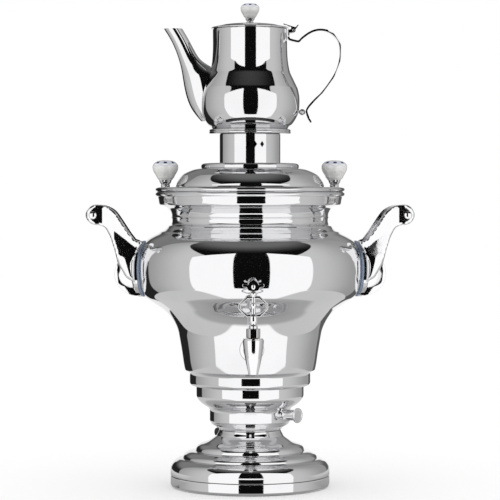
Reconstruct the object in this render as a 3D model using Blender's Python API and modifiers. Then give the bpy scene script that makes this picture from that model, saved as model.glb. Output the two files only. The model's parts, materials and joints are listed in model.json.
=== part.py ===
"""Electric samovar: a turned steel water vessel on a stepped foot, with a tap, two side handles
and a teapot that stands on the vented collar of its lid.

Metres, +Z up. The origin is on the vessel's axis, at the height of the surface it stands on.
The tap faces -Y, and the teapot's spout points to -X.
"""

import math

import bmesh
import bpy
from mathutils import Matrix, Vector

# Clearances and walls that all pieces share
FIT = 0.0003
SHEET = 0.0008
OVERRUN = 0.008
MERGE_DISTANCE = 0.000001

# How finely round things are divided
LARGE_SIDES = 24
UPPER_SIDES = 20
MEDIUM_SIDES = 14
SMALL_SIDES = 10
STRAINER_SIDES = 6
NUT_SIDES = 6
SPOUT_CORNERS = 14
WIRE_SIDES_SETTING = 1

# Foot: rubber pad, base plate, skirt and stepped cover
FOOT_RADIUS = 0.0859
RUBBER_PAD_RADIUS = 0.0800
BASE_PLATE_LIFT = 0.0046
BASE_PLATE_THICKNESS = 0.0030
SKIRT_LIFT = 0.0008
SKIRT_HEIGHT = 0.0118
SKIRT_CURL = 0.0024
COVER_SIDE_HEIGHT = 0.0041
LOWER_SHOULDER_RISE = 0.0140
MIDDLE_TIER_RADIUS = 0.0724
MIDDLE_SHOULDER_RISE = 0.0078
UPPER_TIER_RADIUS = 0.0586
UPPER_SHOULDER_RISE = 0.0078
NECK_RADIUS = 0.0335
NECK_FLARE_RISE = 0.0148
NECK_FLARE_SHARE = 0.62

# Lower housing between the neck and the vessel
HOUSING_BAND_RADIUS = 0.0437
HOUSING_BAND_HEIGHT = 0.0155
HOUSING_FOOT_RISE = 0.0095
HOUSING_BOWL_RADIUS = 0.0583
HOUSING_BOWL_RISE = 0.0140
HOUSING_TOP_HEIGHT = 0.0083

# Vessel, from its lowest tier to the bead round its mouth
VESSEL_TIER_RADIUS = 0.0655
VESSEL_TIER_HEIGHT = 0.0125
VESSEL_TIER_ROUNDING = 0.0040
VESSEL_CONE_FOOT_RADIUS = 0.0705
VESSEL_CONE_FOOT_RISE = 0.0045
VESSEL_CONE_TOP_RADIUS = 0.0772
VESSEL_CONE_HEIGHT = 0.0390
VESSEL_BELLY_RADIUS = 0.1224
VESSEL_BELLY_RISE = 0.0713
VESSEL_WAIST_RADIUS = 0.0837
VESSEL_SHOULDER_RISE = 0.0535
VESSEL_MOUTH_RADIUS = 0.1003
VESSEL_MOUTH_RISE = 0.0235
BEAD_RADIUS = 0.0023
VESSEL_LIP_WIDTH = 0.0025

# Each pair is a share of the step in radius, then a share of the step in height, going down
BELLY_TO_CONE_SHARES = (
    (0.020, 0.190), (0.090, 0.335), (0.220, 0.450), (0.640, 0.625), (0.825, 0.750), (0.940, 0.885),
)
WAIST_TO_BELLY_SHARES = (
    (0.020, 0.090), (0.160, 0.190), (0.545, 0.333), (0.750, 0.452), (0.900, 0.625), (0.978, 0.810),
)
MOUTH_TO_WAIST_SHARES = (
    (0.20, 0.12), (0.26, 0.42), (0.62, 0.54), (0.90, 0.72),
)

# Heater and its fittings under the vessel
HEATER_PLATE_INSET = 0.0103
HEATER_PLATE_RADIUS = HOUSING_BOWL_RADIUS - HEATER_PLATE_INSET
HEATER_PLATE_THICKNESS = 0.0030
ELEMENT_RING_RADIUS = 0.0380
ELEMENT_TUBE_RADIUS = 0.0032
ELEMENT_GAP_DEGREES = 50.0
ELEMENT_TERMINAL_LENGTH = 0.0060
CUTOUT_RADIUS = 0.0080
CUTOUT_HEIGHT = 0.0090
CUTOUT_OFFSET = 0.0220
CUTOUT_DIRECTION_DEGREES = 150.0
TIE_ROD_RADIUS = 0.0040
TIE_NUT_RADIUS = 0.0075
TIE_NUT_HEIGHT = 0.0028

# Thermostat and its knob, on a radial axis through the housing's band
KNOB_DIRECTION_DEGREES = -38.0
KNOB_HEIGHT_SHARE = 0.57
THERMOSTAT_RADIUS = 0.0110
THERMOSTAT_BACK = 0.0200
THERMOSTAT_DEPTH = 0.0130
BUSH_RADIUS = 0.0042
BUSH_PROUD = 0.0022
SPINDLE_RADIUS = 0.0022
SPINDLE_DEPTH_IN_THERMOSTAT = 0.0040
BEZEL_RADIUS = 0.0062
BEZEL_THICKNESS = 0.0016
KNOB_SLEEVE_RADIUS = 0.0057
KNOB_FLANGE_RADIUS = 0.0080
KNOB_LENGTH = 0.0180
KNOB_FLANGE_THICKNESS = 0.0022
KNOB_SKIN = 0.0025

# Mains side: gland for the cord, terminal block and inner wires
GLAND_DIRECTION_DEGREES = 145.0
GLAND_HEIGHT_SHARE = 0.64
GLAND_RADIUS = 0.0050
GLAND_TIP_RADIUS = 0.0043
GLAND_BORE_RADIUS = 0.0033
GLAND_REACH = 0.0105
GLAND_FLANGE_RADIUS = 0.0064
GLAND_FLANGE_THICKNESS = 0.0020
GLAND_FLANGE_DEPTH = 0.0022
TERMINAL_BLOCK_LENGTH = 0.0260
TERMINAL_BLOCK_WIDTH = 0.0140
TERMINAL_BLOCK_HEIGHT = 0.0120
TERMINAL_BLOCK_OFFSET = 0.0360
WIRE_RADIUS = 0.0012
WIRE_CLEARANCE = 0.0005

# Tap: pipe through the vessel's wall, valve body, and an openwork key that turns
TAP_HEIGHT_SHARE = 0.69
TAP_BEYOND_BELLY = 0.0156
TAP_REACH = VESSEL_BELLY_RADIUS + TAP_BEYOND_BELLY
TAP_PIPE_RADIUS = 0.0065
TAP_PIPE_BORE_RADIUS = 0.0040
TAP_CONE_TOP_RADIUS = 0.0112
TAP_CONE_TIP_RADIUS = 0.0050
TAP_CONE_ABOVE_PIPE = 0.0160
TAP_CONE_BELOW_PIPE = 0.0210
TAP_SPOUT_BORE_RADIUS = 0.0034
TAP_PLUG_RADIUS = 0.0068
TAP_PLUG_BELOW_PIPE = 0.0070
TAP_HEX_RADIUS = 0.0073
TAP_HEX_HEIGHT = 0.0095
TAP_STEM_RADIUS = 0.0046
TAP_STEM_HEIGHT = 0.0115
TAP_NUT_RADIUS = 0.0105
TAP_NUT_THICKNESS = 0.0055
TAP_WASHER_RADIUS = 0.0095
TAP_WASHER_THICKNESS = 0.0015
TAP_PIPE_END = 0.0030
ESCUTCHEON_RADIUS = 0.0130
ESCUTCHEON_THICKNESS = 0.0045
ESCUTCHEON_FACE_RADIUS = 0.0085
KEY_RING_HALF_WIDTH = 0.0153
KEY_RING_HEIGHT = 0.0215
KEY_RING_THICKNESS = 0.0040
KEY_RING_BAR = 0.0026
KEY_RING_FLAT_SHARE = 0.45
KEY_RING_SIDE_SHARE = 0.24
KEY_BALUSTER_RADIUS = 0.0042
KEY_NECK_HEIGHT = 0.0050
KEY_NECK_RADIUS = 0.0040
KEY_CROWN_HALF_WIDTH = 0.0112
KEY_CROWN_HEIGHT = 0.0120
KEY_CROWN_THICKNESS = 0.0040
# Shares of the crown's half width and height, up its right side
KEY_CROWN_SHARES = (
    (0.30, 0.00), (0.62, 0.22), (1.00, 0.48), (0.86, 0.66), (0.58, 0.62), (0.36, 0.78), (0.16, 0.96),
)
# Shares of the baluster's widest radius and of the ring's height, going down
KEY_BALUSTER_SHARES = ((0.52, 0.06), (0.52, 0.30), (0.80, 0.42), (0.60, 0.54), (1.00, 0.94))
# Shares of the stem's radius and height, going down to the hexagon
KEY_STEM_SHARES = ((1.00, 0.35), (0.75, 0.65), (1.00, 1.00))

# Side handles: gasket, casting with two arms, and a grip between the tips
HANDLE_REACH = 0.0530
HANDLE_HEIGHT = 0.1000
HANDLE_BELOW_BELLY = 0.0310
HANDLE_HALF_WIDTH = 0.0310
HANDLE_ARM_THICKNESS = 0.0070
HANDLE_FLANGE_THICKNESS = 0.0040
HANDLE_FLANGE_HEIGHT = 0.0600
HANDLE_FLANGE_INSET = 0.0006
HANDLE_TIP_RADIUS = 0.0109
HANDLE_WEB_HALF_WIDTH = 0.0200
GASKET_THICKNESS = 0.0026
GASKET_HALF_WIDTH = 0.0295
GRIP_RADIUS = 0.0085
GRIP_END_SHARE = 0.82
GRIP_STRAIGHT_SHARE = 0.72
GRIP_BOLT_RADIUS = 0.0020
GRIP_CAP_RADIUS = 0.0043
GRIP_CAP_HEIGHT = 0.0022
# Shares of the cap's radius and height, going down
GRIP_CAP_SHARES = ((0.60, 0.85), (1.00, 0.30), (1.00, 0.00))
HANDLE_BOLT_RADIUS = 0.0020
HANDLE_BOLT_HEAD_RADIUS = 0.0040
HANDLE_BOLT_HEAD_HEIGHT = 0.0018
HANDLE_BOLT_FACE_SHARE = 0.7
HANDLE_BOLT_SPACING = 0.0150
HANDLE_BOLT_BITE_SHARE = 0.7

# Shares of the handle's reach beyond the belly, and of its height above its lowest point
HANDLE_TIP_CENTRE_SHARES = (0.785, 0.881)
GRIP_CENTRE_SHARES = (0.864, 0.877)
ARM_LOWER_EDGE_SHARES = (
    (0.100, 0.181), (0.187, 0.210), (0.246, 0.256), (0.300, 0.306), (0.355, 0.357), (0.394, 0.438),
    (0.432, 0.520), (0.462, 0.568), (0.502, 0.634), (0.547, 0.683), (0.609, 0.740), (0.670, 0.759),
)
ARM_UPPER_EDGE_SHARES = (
    (0.700, 0.987), (0.600, 0.975), (0.520, 0.955), (0.425, 0.919), (0.332, 0.854), (0.225, 0.768),
    (0.116, 0.680), (0.022, 0.615),
)
WEB_OUTER_EDGE_SHARES = (
    (0.000, 0.012), (0.148, 0.030), (0.294, 0.078), (0.396, 0.150), (0.437, 0.244),
    (0.400, 0.350), (0.343, 0.360),
)
WEB_INNER_EDGE_SHARES = (
    (0.323, 0.290), (0.348, 0.230), (0.304, 0.165), (0.224, 0.128), (0.138, 0.106),
)
ARM_ROOT_SHARES = (0.155, 0.585)
WEB_ROOT_SHARES = (0.020, 0.095)

# Lid: flange with its bead, dome, locating ring, collar and pot seat
LID_DOME_RADIUS = 0.0802
LID_DOME_FOOT_RISE = 0.0020
LID_DOME_RISE = 0.0187
LID_TOP_RADIUS = 0.0540
LID_HOLE_RADIUS = 0.0300
LID_RING_RADIUS = 0.0945
LID_RING_DEPTH = 0.0110
COLLAR_BASE_RADIUS = 0.0530
COLLAR_BASE_HEIGHT = 0.0052
COLLAR_BASE_ROUNDING = 0.0026
COLLAR_RADIUS = 0.0329
COLLAR_HEIGHT = 0.0362
VENT_HALF_WIDTH = 0.0023
VENT_HALF_HEIGHT = 0.0034
VENT_BELOW_TOP = 0.0112
VENT_SPACING_DEGREES = 13.7
VENT_GROUP_DIRECTIONS_DEGREES = (-82.0, 38.0, 158.0)
VENTS_IN_GROUP = 3
POT_SEAT_RADIUS = 0.0443
POT_SEAT_THICKNESS = 0.0051
POT_SEAT_HOLE_RADIUS = 0.0250
POT_SEAT_RECESS_DEPTH = 0.0014
POT_SEAT_LIP_DEPTH = 0.0030
POT_SEAT_LIP_WIDTH = 0.0012
POT_SEAT_EDGE = 0.0014

# Porcelain knobs and their pronged sockets
LID_KNOB_OFFSET = 0.0912
LID_KNOB_RADIUS = 0.0139
LID_KNOB_HEIGHT = 0.0210
LID_SOCKET_HEIGHT = 0.0078
LID_SOCKET_RADIUS = 0.0069
LID_STUD_RADIUS = 0.0014
LID_STUD_LENGTH = 0.0034
POT_KNOB_RADIUS = 0.0102
POT_KNOB_HEIGHT = 0.0158
POT_SOCKET_HEIGHT = 0.0051
POT_SOCKET_RADIUS = 0.0052
POT_STUD_RADIUS = 0.0012
POT_STUD_LENGTH = 0.0022
SOCKET_FOOT_SHARE = 0.67
SOCKET_FLOOR_SHARE = 0.30
KNOB_STEM_SHARE = 0.75
KNOB_STEM_TIP_SHARE = 0.425

# Shares of a knob's radius and of its height above the socket's rim, going down
KNOB_OUTLINE_SHARES = (
    (0.00, 1.00), (0.55, 0.965), (0.86, 0.850), (1.00, 0.680), (0.95, 0.460), (0.70, 0.140),
    (0.55, 0.000),
)

# Teapot, with heights above its underside
POT_HEIGHT = 0.1087
POT_BELLY_RADIUS = 0.0537
POT_NECK_RADIUS = 0.0403
POT_BASE_RADIUS = 0.0405
# Shares of the belly's radius and of the pot's height, going down from the mouth
POT_OUTLINE_SHARES = (
    (0.752, 0.770), (0.776, 0.640), (0.835, 0.548), (0.920, 0.456), (0.982, 0.390), (1.000, 0.300),
    (0.988, 0.210), (0.940, 0.128), (0.858, 0.062),
)
SPOUT_REACH = 0.0930
SPOUT_MOUTH_SHARE = 1.005
SPOUT_WALL = 0.0009
STRAINER_HOLE_RADIUS = 0.0020
STRAINER_HOLE_PITCH = 0.0075
STRAINER_HEIGHT_SHARE = 0.36
# Outer end and inner end of each section, as shares of the reach and of the pot's height, and
# the section's half width as a share of the reach
SPOUT_SECTION_SHARES = (
    (1.030, 1.060, 0.815, 1.035, 0.088),
    (0.927, 0.929, 0.720, 0.901, 0.080),
    (0.857, 0.810, 0.657, 0.795, 0.081),
    (0.811, 0.691, 0.595, 0.701, 0.092),
    (0.785, 0.602, 0.513, 0.650, 0.112),
    (0.770, 0.512, 0.420, 0.610, 0.140),
    (0.752, 0.413, 0.335, 0.535, 0.165),
    (0.718, 0.294, 0.290, 0.395, 0.170),
    (0.660, 0.190, 0.265, 0.255, 0.150),
    (0.560, 0.095, 0.290, 0.125, 0.105),
)
STRAP_REACH = 0.0990
STRAP_THICKNESS = 0.0022
STRAP_WIDTH = 0.0130
# The strap's middle line from its plate on the pot, as shares of its reach and of the pot's height
# below the hinge's bracket
STRAP_LINE_SHARES = (
    (0.421, 0.9908), (0.421, 0.9769), (0.432, 0.9609), (0.497, 0.9438), (0.532, 0.9427),
    (0.573, 0.9812), (0.640, 1.0282), (0.700, 1.0539), (0.765, 1.0635), (0.842, 1.0517),
    (0.916, 1.0100), (0.972, 0.9395), (0.988, 0.8390), (0.978, 0.7396), (0.942, 0.6253),
    (0.873, 0.5109), (0.786, 0.3987), (0.711, 0.3281), (0.654, 0.2693), (0.624, 0.2277),
    (0.617, 0.1913), (0.639, 0.1272), (0.668, 0.0844),
)
BALL_RADIUS = 0.0035
BALL_STUB_RADIUS = 0.0019
BALL_HEIGHT_SHARE = 0.182

# Teapot lid and its hinge at the handle side
POT_LID_RADIUS = 0.0420
POT_LID_THICKNESS = 0.0010
POT_LID_SIDE = 0.0022
POT_LID_RISE = 0.0041
POT_LID_TOP_RADIUS = 0.0080
POT_LID_LIP_DEPTH = 0.0050
POT_LID_LIP_GAP = 0.0008
POT_LID_CLEARANCE = 0.0004
HINGE_OFFSET = 0.0466
HINGE_BELOW_RIM = 0.0012
HINGE_BARREL_RADIUS = 0.0024
HINGE_PIN_RADIUS = 0.0010
HINGE_HALF_WIDTH = 0.0060
HINGE_LUG_HALF_WIDTH = 0.0028
HINGE_LEAF_THICKNESS = 0.0012
HINGE_LEAF_START = 0.0360
HINGE_TAB_REACH = 0.0060
HINGE_TAB_RISE = 0.0038
HINGE_BRACKET_HEIGHT = 0.0070
HINGE_BRACKET_THICKNESS = 0.0014

# Colour, metallic and roughness of each finish
STEEL = ("polished_steel", (0.78, 0.78, 0.79), 1.0, 0.06)
CHROME = ("chrome", (0.80, 0.80, 0.82), 1.0, 0.04)
PORCELAIN = ("white_porcelain", (0.90, 0.90, 0.88), 0.0, 0.12)
GASKET_SILICONE = ("blue_grey_silicone", (0.33, 0.39, 0.50), 0.0, 0.45)
BLACK_RUBBER = ("black_rubber", (0.02, 0.02, 0.02), 0.0, 0.70)
BLACK_PLASTIC = ("black_plastic", (0.03, 0.03, 0.03), 0.0, 0.45)
CERAMIC = ("terminal_ceramic", (0.80, 0.78, 0.72), 0.0, 0.50)
ALUMINIUM = ("cast_aluminium", (0.62, 0.62, 0.63), 1.0, 0.40)
ELEMENT_STEEL = ("dark_element_steel", (0.25, 0.24, 0.23), 1.0, 0.45)
BRASS = ("brass", (0.72, 0.55, 0.25), 1.0, 0.30)
WIRE_SLEEVE = ("silicone_wire", (0.55, 0.10, 0.08), 0.0, 0.55)


# Heights that follow from the sizes above, from the table up
SKIRT_TOP = SKIRT_LIFT + SKIRT_HEIGHT
COVER_FOOT = SKIRT_TOP + FIT
LOWER_SHOULDER_TOP = COVER_FOOT + COVER_SIDE_HEIGHT + LOWER_SHOULDER_RISE
MIDDLE_SHOULDER_TOP = LOWER_SHOULDER_TOP + MIDDLE_SHOULDER_RISE
UPPER_SHOULDER_TOP = MIDDLE_SHOULDER_TOP + UPPER_SHOULDER_RISE
NECK_TOP = UPPER_SHOULDER_TOP + NECK_FLARE_RISE
HOUSING_FOOT = NECK_TOP + FIT
BAND_FOOT = HOUSING_FOOT + HOUSING_FOOT_RISE
BAND_TOP = BAND_FOOT + HOUSING_BAND_HEIGHT
BOWL_TOP = BAND_TOP + HOUSING_BOWL_RISE
HOUSING_TOP = BOWL_TOP + HOUSING_TOP_HEIGHT
VESSEL_FOOT = HOUSING_TOP + FIT
CONE_FOOT = VESSEL_FOOT + VESSEL_TIER_HEIGHT + VESSEL_CONE_FOOT_RISE
CONE_TOP = CONE_FOOT + VESSEL_CONE_HEIGHT
BELLY_HEIGHT = CONE_TOP + VESSEL_BELLY_RISE
WAIST_HEIGHT = BELLY_HEIGHT + VESSEL_SHOULDER_RISE
MOUTH_HEIGHT = WAIST_HEIGHT + VESSEL_MOUTH_RISE
VESSEL_TOP = MOUTH_HEIGHT + 2 * BEAD_RADIUS
LID_BEAD_HEIGHT = VESSEL_TOP + FIT + BEAD_RADIUS
LID_FLANGE_TOP = LID_BEAD_HEIGHT + BEAD_RADIUS
LID_TOP = LID_FLANGE_TOP + LID_DOME_FOOT_RISE + LID_DOME_RISE
COLLAR_FOOT = LID_TOP + FIT
COLLAR_TOP = COLLAR_FOOT + COLLAR_HEIGHT
POT_SEAT_FOOT = COLLAR_TOP + FIT
POT_SEAT_TOP = POT_SEAT_FOOT + POT_SEAT_THICKNESS
POT_FOOT = POT_SEAT_TOP - POT_SEAT_RECESS_DEPTH + FIT
POT_TOP = POT_FOOT + POT_HEIGHT
POT_LID_FOOT = POT_TOP + POT_LID_CLEARANCE
POT_LID_TOP = POT_LID_FOOT + POT_LID_SIDE + POT_LID_RISE
HEATER_TOP = VESSEL_FOOT - FIT
HEATER_FOOT = HEATER_TOP - HEATER_PLATE_THICKNESS
BASE_PLATE_TOP = BASE_PLATE_LIFT + BASE_PLATE_THICKNESS
TAP_HEIGHT = CONE_FOOT + VESSEL_CONE_HEIGHT * TAP_HEIGHT_SHARE
KNOB_HEIGHT = BAND_FOOT + HOUSING_BAND_HEIGHT * KNOB_HEIGHT_SHARE

parts = None
cutters = None


def clear_scene():
    for item in list(bpy.data.objects):
        bpy.data.objects.remove(item, do_unlink=True)
    for group in list(bpy.data.collections):
        bpy.data.collections.remove(group)


def new_collection(name):
    group = bpy.data.collections.new(name)
    bpy.context.scene.collection.children.link(group)
    return group


def finish_material(finish):
    name, colour, metallic, roughness = finish
    found = bpy.data.materials.get(name)
    if found:
        return found
    made = bpy.data.materials.new(name)
    made.use_nodes = True
    shader = made.node_tree.nodes["Principled BSDF"]
    shader.inputs["Base Color"].default_value = (*colour, 1.0)
    shader.inputs["Metallic"].default_value = metallic
    shader.inputs["Roughness"].default_value = roughness
    made.diffuse_color = (*colour, 1.0)
    return made


def place(item, finish, matrix=None):
    """A finished piece goes into the samovar's collection with its own finish."""
    item.data.materials.clear()
    item.data.materials.append(finish_material(finish))
    if matrix is not None:
        item.matrix_world = matrix
    parts.objects.link(item)
    return item


def carried(name, origin, pieces):
    """An empty on a joint's axis carries the pieces that move together."""
    carrier = bpy.data.objects.new(name, None)
    carrier.location = origin
    carrier.empty_display_size = POT_BASE_RADIUS
    parts.objects.link(carrier)
    for piece in pieces:
        item = bpy.data.objects[piece]
        item.parent = carrier
        item.matrix_parent_inverse = Matrix.Translation(origin).inverted()


def as_cutter(item, matrix=None):
    """A cutter is hidden from renders and drawn as wire."""
    if matrix is not None:
        item.matrix_world = matrix
    cutters.objects.link(item)
    item.hide_render = True
    item.display_type = "WIRE"
    return item


def cut(item, cutter, operation="DIFFERENCE"):
    boolean = item.modifiers.new(operation.title(), "BOOLEAN")
    boolean.operation = operation
    boolean.solver = "EXACT"
    boolean.object = cutter
    return boolean


# Outlines: every point is (radius, height)
def arc(centre, radius_across, radius_up, start, end, steps):
    """Points on an ellipse's arc, angles in degrees from +radius towards +height."""
    found = []
    for step in range(steps + 1):
        angle = math.radians(start + (end - start) * step / steps)
        found.append((centre[0] + radius_across * math.cos(angle), centre[1] + radius_up * math.sin(angle)))
    return found


def between(start, end, shares):
    """Points at shares of the way from one point to another, in radius and in height."""
    return [
        (start[0] + (end[0] - start[0]) * across, start[1] + (end[1] - start[1]) * along)
        for across, along in shares
    ]


def offset_outline(points, distance):
    """The outline moved sideways, outwards for a line that runs down its outer side."""
    moved = []
    for index, point in enumerate(points):
        before = Vector(points[max(index - 1, 0)])
        after = Vector(points[min(index + 1, len(points) - 1)])
        along = (after - before).normalized()
        moved.append((point[0] - along.y * distance, point[1] + along.x * distance))
    return moved


def radius_at(points, height):
    """Radius of an outline that runs down, at a height."""
    for upper, lower in zip(points, points[1:]):
        if lower[1] <= height <= upper[1] and upper[1] > lower[1]:
            share = (height - lower[1]) / (upper[1] - lower[1])
            return lower[0] + (upper[0] - lower[0]) * share
    return points[0][0] if height > points[0][1] else points[-1][0]


def smooth_line(points, steps):
    """A Catmull-Rom curve through points of two or three numbers each."""
    vectors = [Vector(point) for point in points]
    ends = [2 * vectors[0] - vectors[1]] + vectors + [2 * vectors[-1] - vectors[-2]]
    found = []
    for before, start, end, after in zip(ends, ends[1:], ends[2:], ends[3:]):
        for step in range(steps):
            t = step / steps
            found.append(
                0.5 * (2 * start + (end - before) * t + (2 * before - 5 * start + 4 * end - after) * t**2
                       + (3 * start - before - 3 * end + after) * t**3)
            )
    found.append(vectors[-1])
    return [tuple(point) for point in found]


# Turned, flat and round shapes
def turned(name, outline, sides, closed=False, wall=0.0):
    """An outline of (radius, height) points, turned about Z. A wall grows inwards from it."""
    mesh = bpy.data.meshes.new(name)
    points = [(radius, 0.0, height) for radius, height in outline]
    edges = [(index, index + 1) for index in range(len(points) - 1)]
    if closed:
        edges.append((len(points) - 1, 0))
    mesh.from_pydata(points, edges, [])
    item = bpy.data.objects.new(name, mesh)
    screw = item.modifiers.new("Turn", "SCREW")
    screw.axis = "Z"
    screw.steps = sides
    screw.render_steps = sides
    screw.use_merge_vertices = True
    screw.merge_threshold = MERGE_DISTANCE
    screw.use_smooth_shade = True
    if wall:
        solidify = item.modifiers.new("Wall", "SOLIDIFY")
        solidify.thickness = wall
        solidify.offset = -1
        solidify.use_even_offset = True
    return item


def flat(name, outlines, thickness):
    """Closed outlines of (x, z) points, filled and given a thickness along Y, as a mesh."""
    curve = bpy.data.curves.new(name, "CURVE")
    curve.dimensions = "2D"
    curve.fill_mode = "BOTH"
    curve.extrude = thickness / 2
    for outline in outlines:
        spline = curve.splines.new("POLY")
        spline.points.add(len(outline) - 1)
        for point, (across, up) in zip(spline.points, outline):
            point.co = (across, up, 0.0, 1.0)
        spline.use_cyclic_u = True
    drawn = bpy.data.objects.new(name, curve)
    bpy.context.scene.collection.objects.link(drawn)
    bpy.context.view_layer.update()
    evaluated = drawn.evaluated_get(bpy.context.evaluated_depsgraph_get())
    mesh = bpy.data.meshes.new_from_object(evaluated)
    bpy.data.objects.remove(drawn, do_unlink=True)
    weld(mesh)
    mesh.transform(Matrix.Rotation(math.radians(90), 4, "X"))
    mesh.name = name
    return bpy.data.objects.new(name, mesh)


def weld(mesh):
    shape = bmesh.new()
    shape.from_mesh(mesh)
    bmesh.ops.remove_doubles(shape, verts=shape.verts, dist=MERGE_DISTANCE)
    bmesh.ops.recalc_face_normals(shape, faces=shape.faces)
    shape.to_mesh(mesh)
    shape.free()


def box(name, size):
    mesh = bpy.data.meshes.new(name)
    shape = bmesh.new()
    bmesh.ops.create_cube(shape, size=1.0)
    bmesh.ops.scale(shape, vec=Vector(size), verts=shape.verts)
    shape.to_mesh(mesh)
    shape.free()
    return bpy.data.objects.new(name, mesh)


def rod(name, radius, length, sides):
    """A cylinder that starts at the origin and runs along +Z."""
    mesh = bpy.data.meshes.new(name)
    shape = bmesh.new()
    bmesh.ops.create_cone(
        shape, cap_ends=True, segments=sides, radius1=radius, radius2=radius, depth=length
    )
    bmesh.ops.translate(shape, vec=(0.0, 0.0, length / 2), verts=shape.verts)
    shape.to_mesh(mesh)
    shape.free()
    mesh.shade_smooth()
    mesh.set_sharp_from_angle(angle=math.radians(40))
    return bpy.data.objects.new(name, mesh)


def hex_nut(name, radius, bore, height, finish, matrix):
    """A hexagon with a round bore that starts at the origin and runs along +Z."""
    nut = rod(name, radius, height, NUT_SIDES)
    cutter = rod(f"{name}_bore_cutter", bore, height + 2 * OVERRUN, MEDIUM_SIDES)
    as_cutter(cutter, matrix @ lifted(-OVERRUN))
    cut(nut, cutter)
    place(nut, finish, matrix)


def wire(name, route, radius):
    """A round wire along a smooth curve through its route."""
    curve = bpy.data.curves.new(name, "CURVE")
    curve.dimensions = "3D"
    curve.bevel_depth = radius
    curve.bevel_resolution = WIRE_SIDES_SETTING
    curve.use_fill_caps = True
    line = smooth_line(route, 3)
    spline = curve.splines.new("POLY")
    spline.points.add(len(line) - 1)
    for point, place_on_route in zip(spline.points, line):
        point.co = (*place_on_route, 1.0)
    return bpy.data.objects.new(name, curve)


def along(direction, origin):
    """A matrix that turns +Z to a direction and moves the origin."""
    turn = Vector((0.0, 0.0, 1.0)).rotation_difference(Vector(direction)).to_matrix().to_4x4()
    return Matrix.Translation(Vector(origin)) @ turn


def lifted(height):
    return Matrix.Translation((0.0, 0.0, height))


def level_direction(degrees):
    return Vector((math.cos(math.radians(degrees)), math.sin(math.radians(degrees)), 0.0))


# Outlines of the vessel and of the pieces that seat on each other
def vessel_outline():
    """The vessel's outer side, from the lip of its mouth down to the axis of its floor."""
    bead = (VESSEL_MOUTH_RADIUS, MOUTH_HEIGHT + BEAD_RADIUS)
    bead_foot = (VESSEL_MOUTH_RADIUS, MOUTH_HEIGHT)
    waist = (VESSEL_WAIST_RADIUS, WAIST_HEIGHT)
    belly = (VESSEL_BELLY_RADIUS, BELLY_HEIGHT)
    cone_top = (VESSEL_CONE_TOP_RADIUS, CONE_TOP)
    cone_foot = (VESSEL_CONE_FOOT_RADIUS, CONE_FOOT)
    tier_top = VESSEL_FOOT + VESSEL_TIER_HEIGHT
    rounding = VESSEL_TIER_ROUNDING
    points = [(VESSEL_MOUTH_RADIUS - VESSEL_LIP_WIDTH, VESSEL_TOP)]
    points += arc(bead, BEAD_RADIUS, BEAD_RADIUS, 90, -70, 4)
    points += between(bead_foot, waist, MOUTH_TO_WAIST_SHARES)
    points.append(waist)
    points += between(waist, belly, WAIST_TO_BELLY_SHARES)
    points.append(belly)
    points += between(belly, cone_top, BELLY_TO_CONE_SHARES)
    points.append(cone_top)
    points.append(cone_foot)
    foot_step = (cone_foot[0] - VESSEL_TIER_RADIUS, VESSEL_CONE_FOOT_RISE)
    points += arc((VESSEL_TIER_RADIUS, CONE_FOOT), foot_step[0], foot_step[1], -30, -90, 1)
    points.append((VESSEL_TIER_RADIUS, tier_top - SHEET))
    points += arc((VESSEL_TIER_RADIUS - rounding, VESSEL_FOOT + rounding), rounding, rounding, 0, -90, 2)
    points.append((0.0, VESSEL_FOOT))
    return points


def pot_outline():
    """The teapot's outer side, from its mouth down to the axis of its underside."""
    points = [(POT_NECK_RADIUS, POT_TOP)]
    for across, up in POT_OUTLINE_SHARES:
        points.append((POT_BELLY_RADIUS * across, POT_FOOT + POT_HEIGHT * up))
    points.append((POT_BASE_RADIUS + FIT, POT_FOOT + SHEET))
    points.append((POT_BASE_RADIUS, POT_FOOT))
    points.append((0.0, POT_FOOT))
    return points


def solid_envelope(name, outline, distance, sides):
    """What lies within an outline, grown by a distance, as a cutter."""
    grown = offset_outline(outline, distance)
    inner = [point for point in grown[:-1] if point[0] > 0]
    top = inner[0]
    closed = [(0.0, top[1] + distance)] + [(top[0], top[1] + distance)] + inner[1:]
    closed.append((0.0, grown[-1][1]))
    return as_cutter(turned(name, closed, sides))


# Foot and neck
def make_foot():
    pad_top = BASE_PLATE_LIFT - FIT
    pocket = TIE_NUT_RADIUS + 2 * FIT
    pocket_floor = BASE_PLATE_LIFT - TIE_NUT_HEIGHT - 2 * FIT
    rubber = [
        (0.0, pocket_floor),
        (pocket, pocket_floor),
        (pocket, pad_top),
        (RUBBER_PAD_RADIUS, pad_top),
        (RUBBER_PAD_RADIUS, 0.0),
        (0.0, 0.0),
    ]
    place(turned("rubber_foot_pad", rubber, LARGE_SIDES), BLACK_RUBBER)

    plate_radius = FOOT_RADIUS - SHEET - FIT
    plate = [
        (plate_radius, BASE_PLATE_TOP),
        (plate_radius, BASE_PLATE_LIFT),
        (TIE_ROD_RADIUS + FIT, BASE_PLATE_LIFT),
        (TIE_ROD_RADIUS + FIT, BASE_PLATE_TOP),
    ]
    place(turned("base_plate", plate, LARGE_SIDES, closed=True), BLACK_PLASTIC)

    curl = (FOOT_RADIUS - SKIRT_CURL, SKIRT_LIFT + SKIRT_CURL)
    skirt = [(FOOT_RADIUS, SKIRT_TOP)] + arc(curl, SKIRT_CURL, SKIRT_CURL, 0, -90, 2)
    place(turned("base_skirt", skirt, LARGE_SIDES, wall=SHEET), STEEL)

    place(make_cover(), STEEL)


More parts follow.
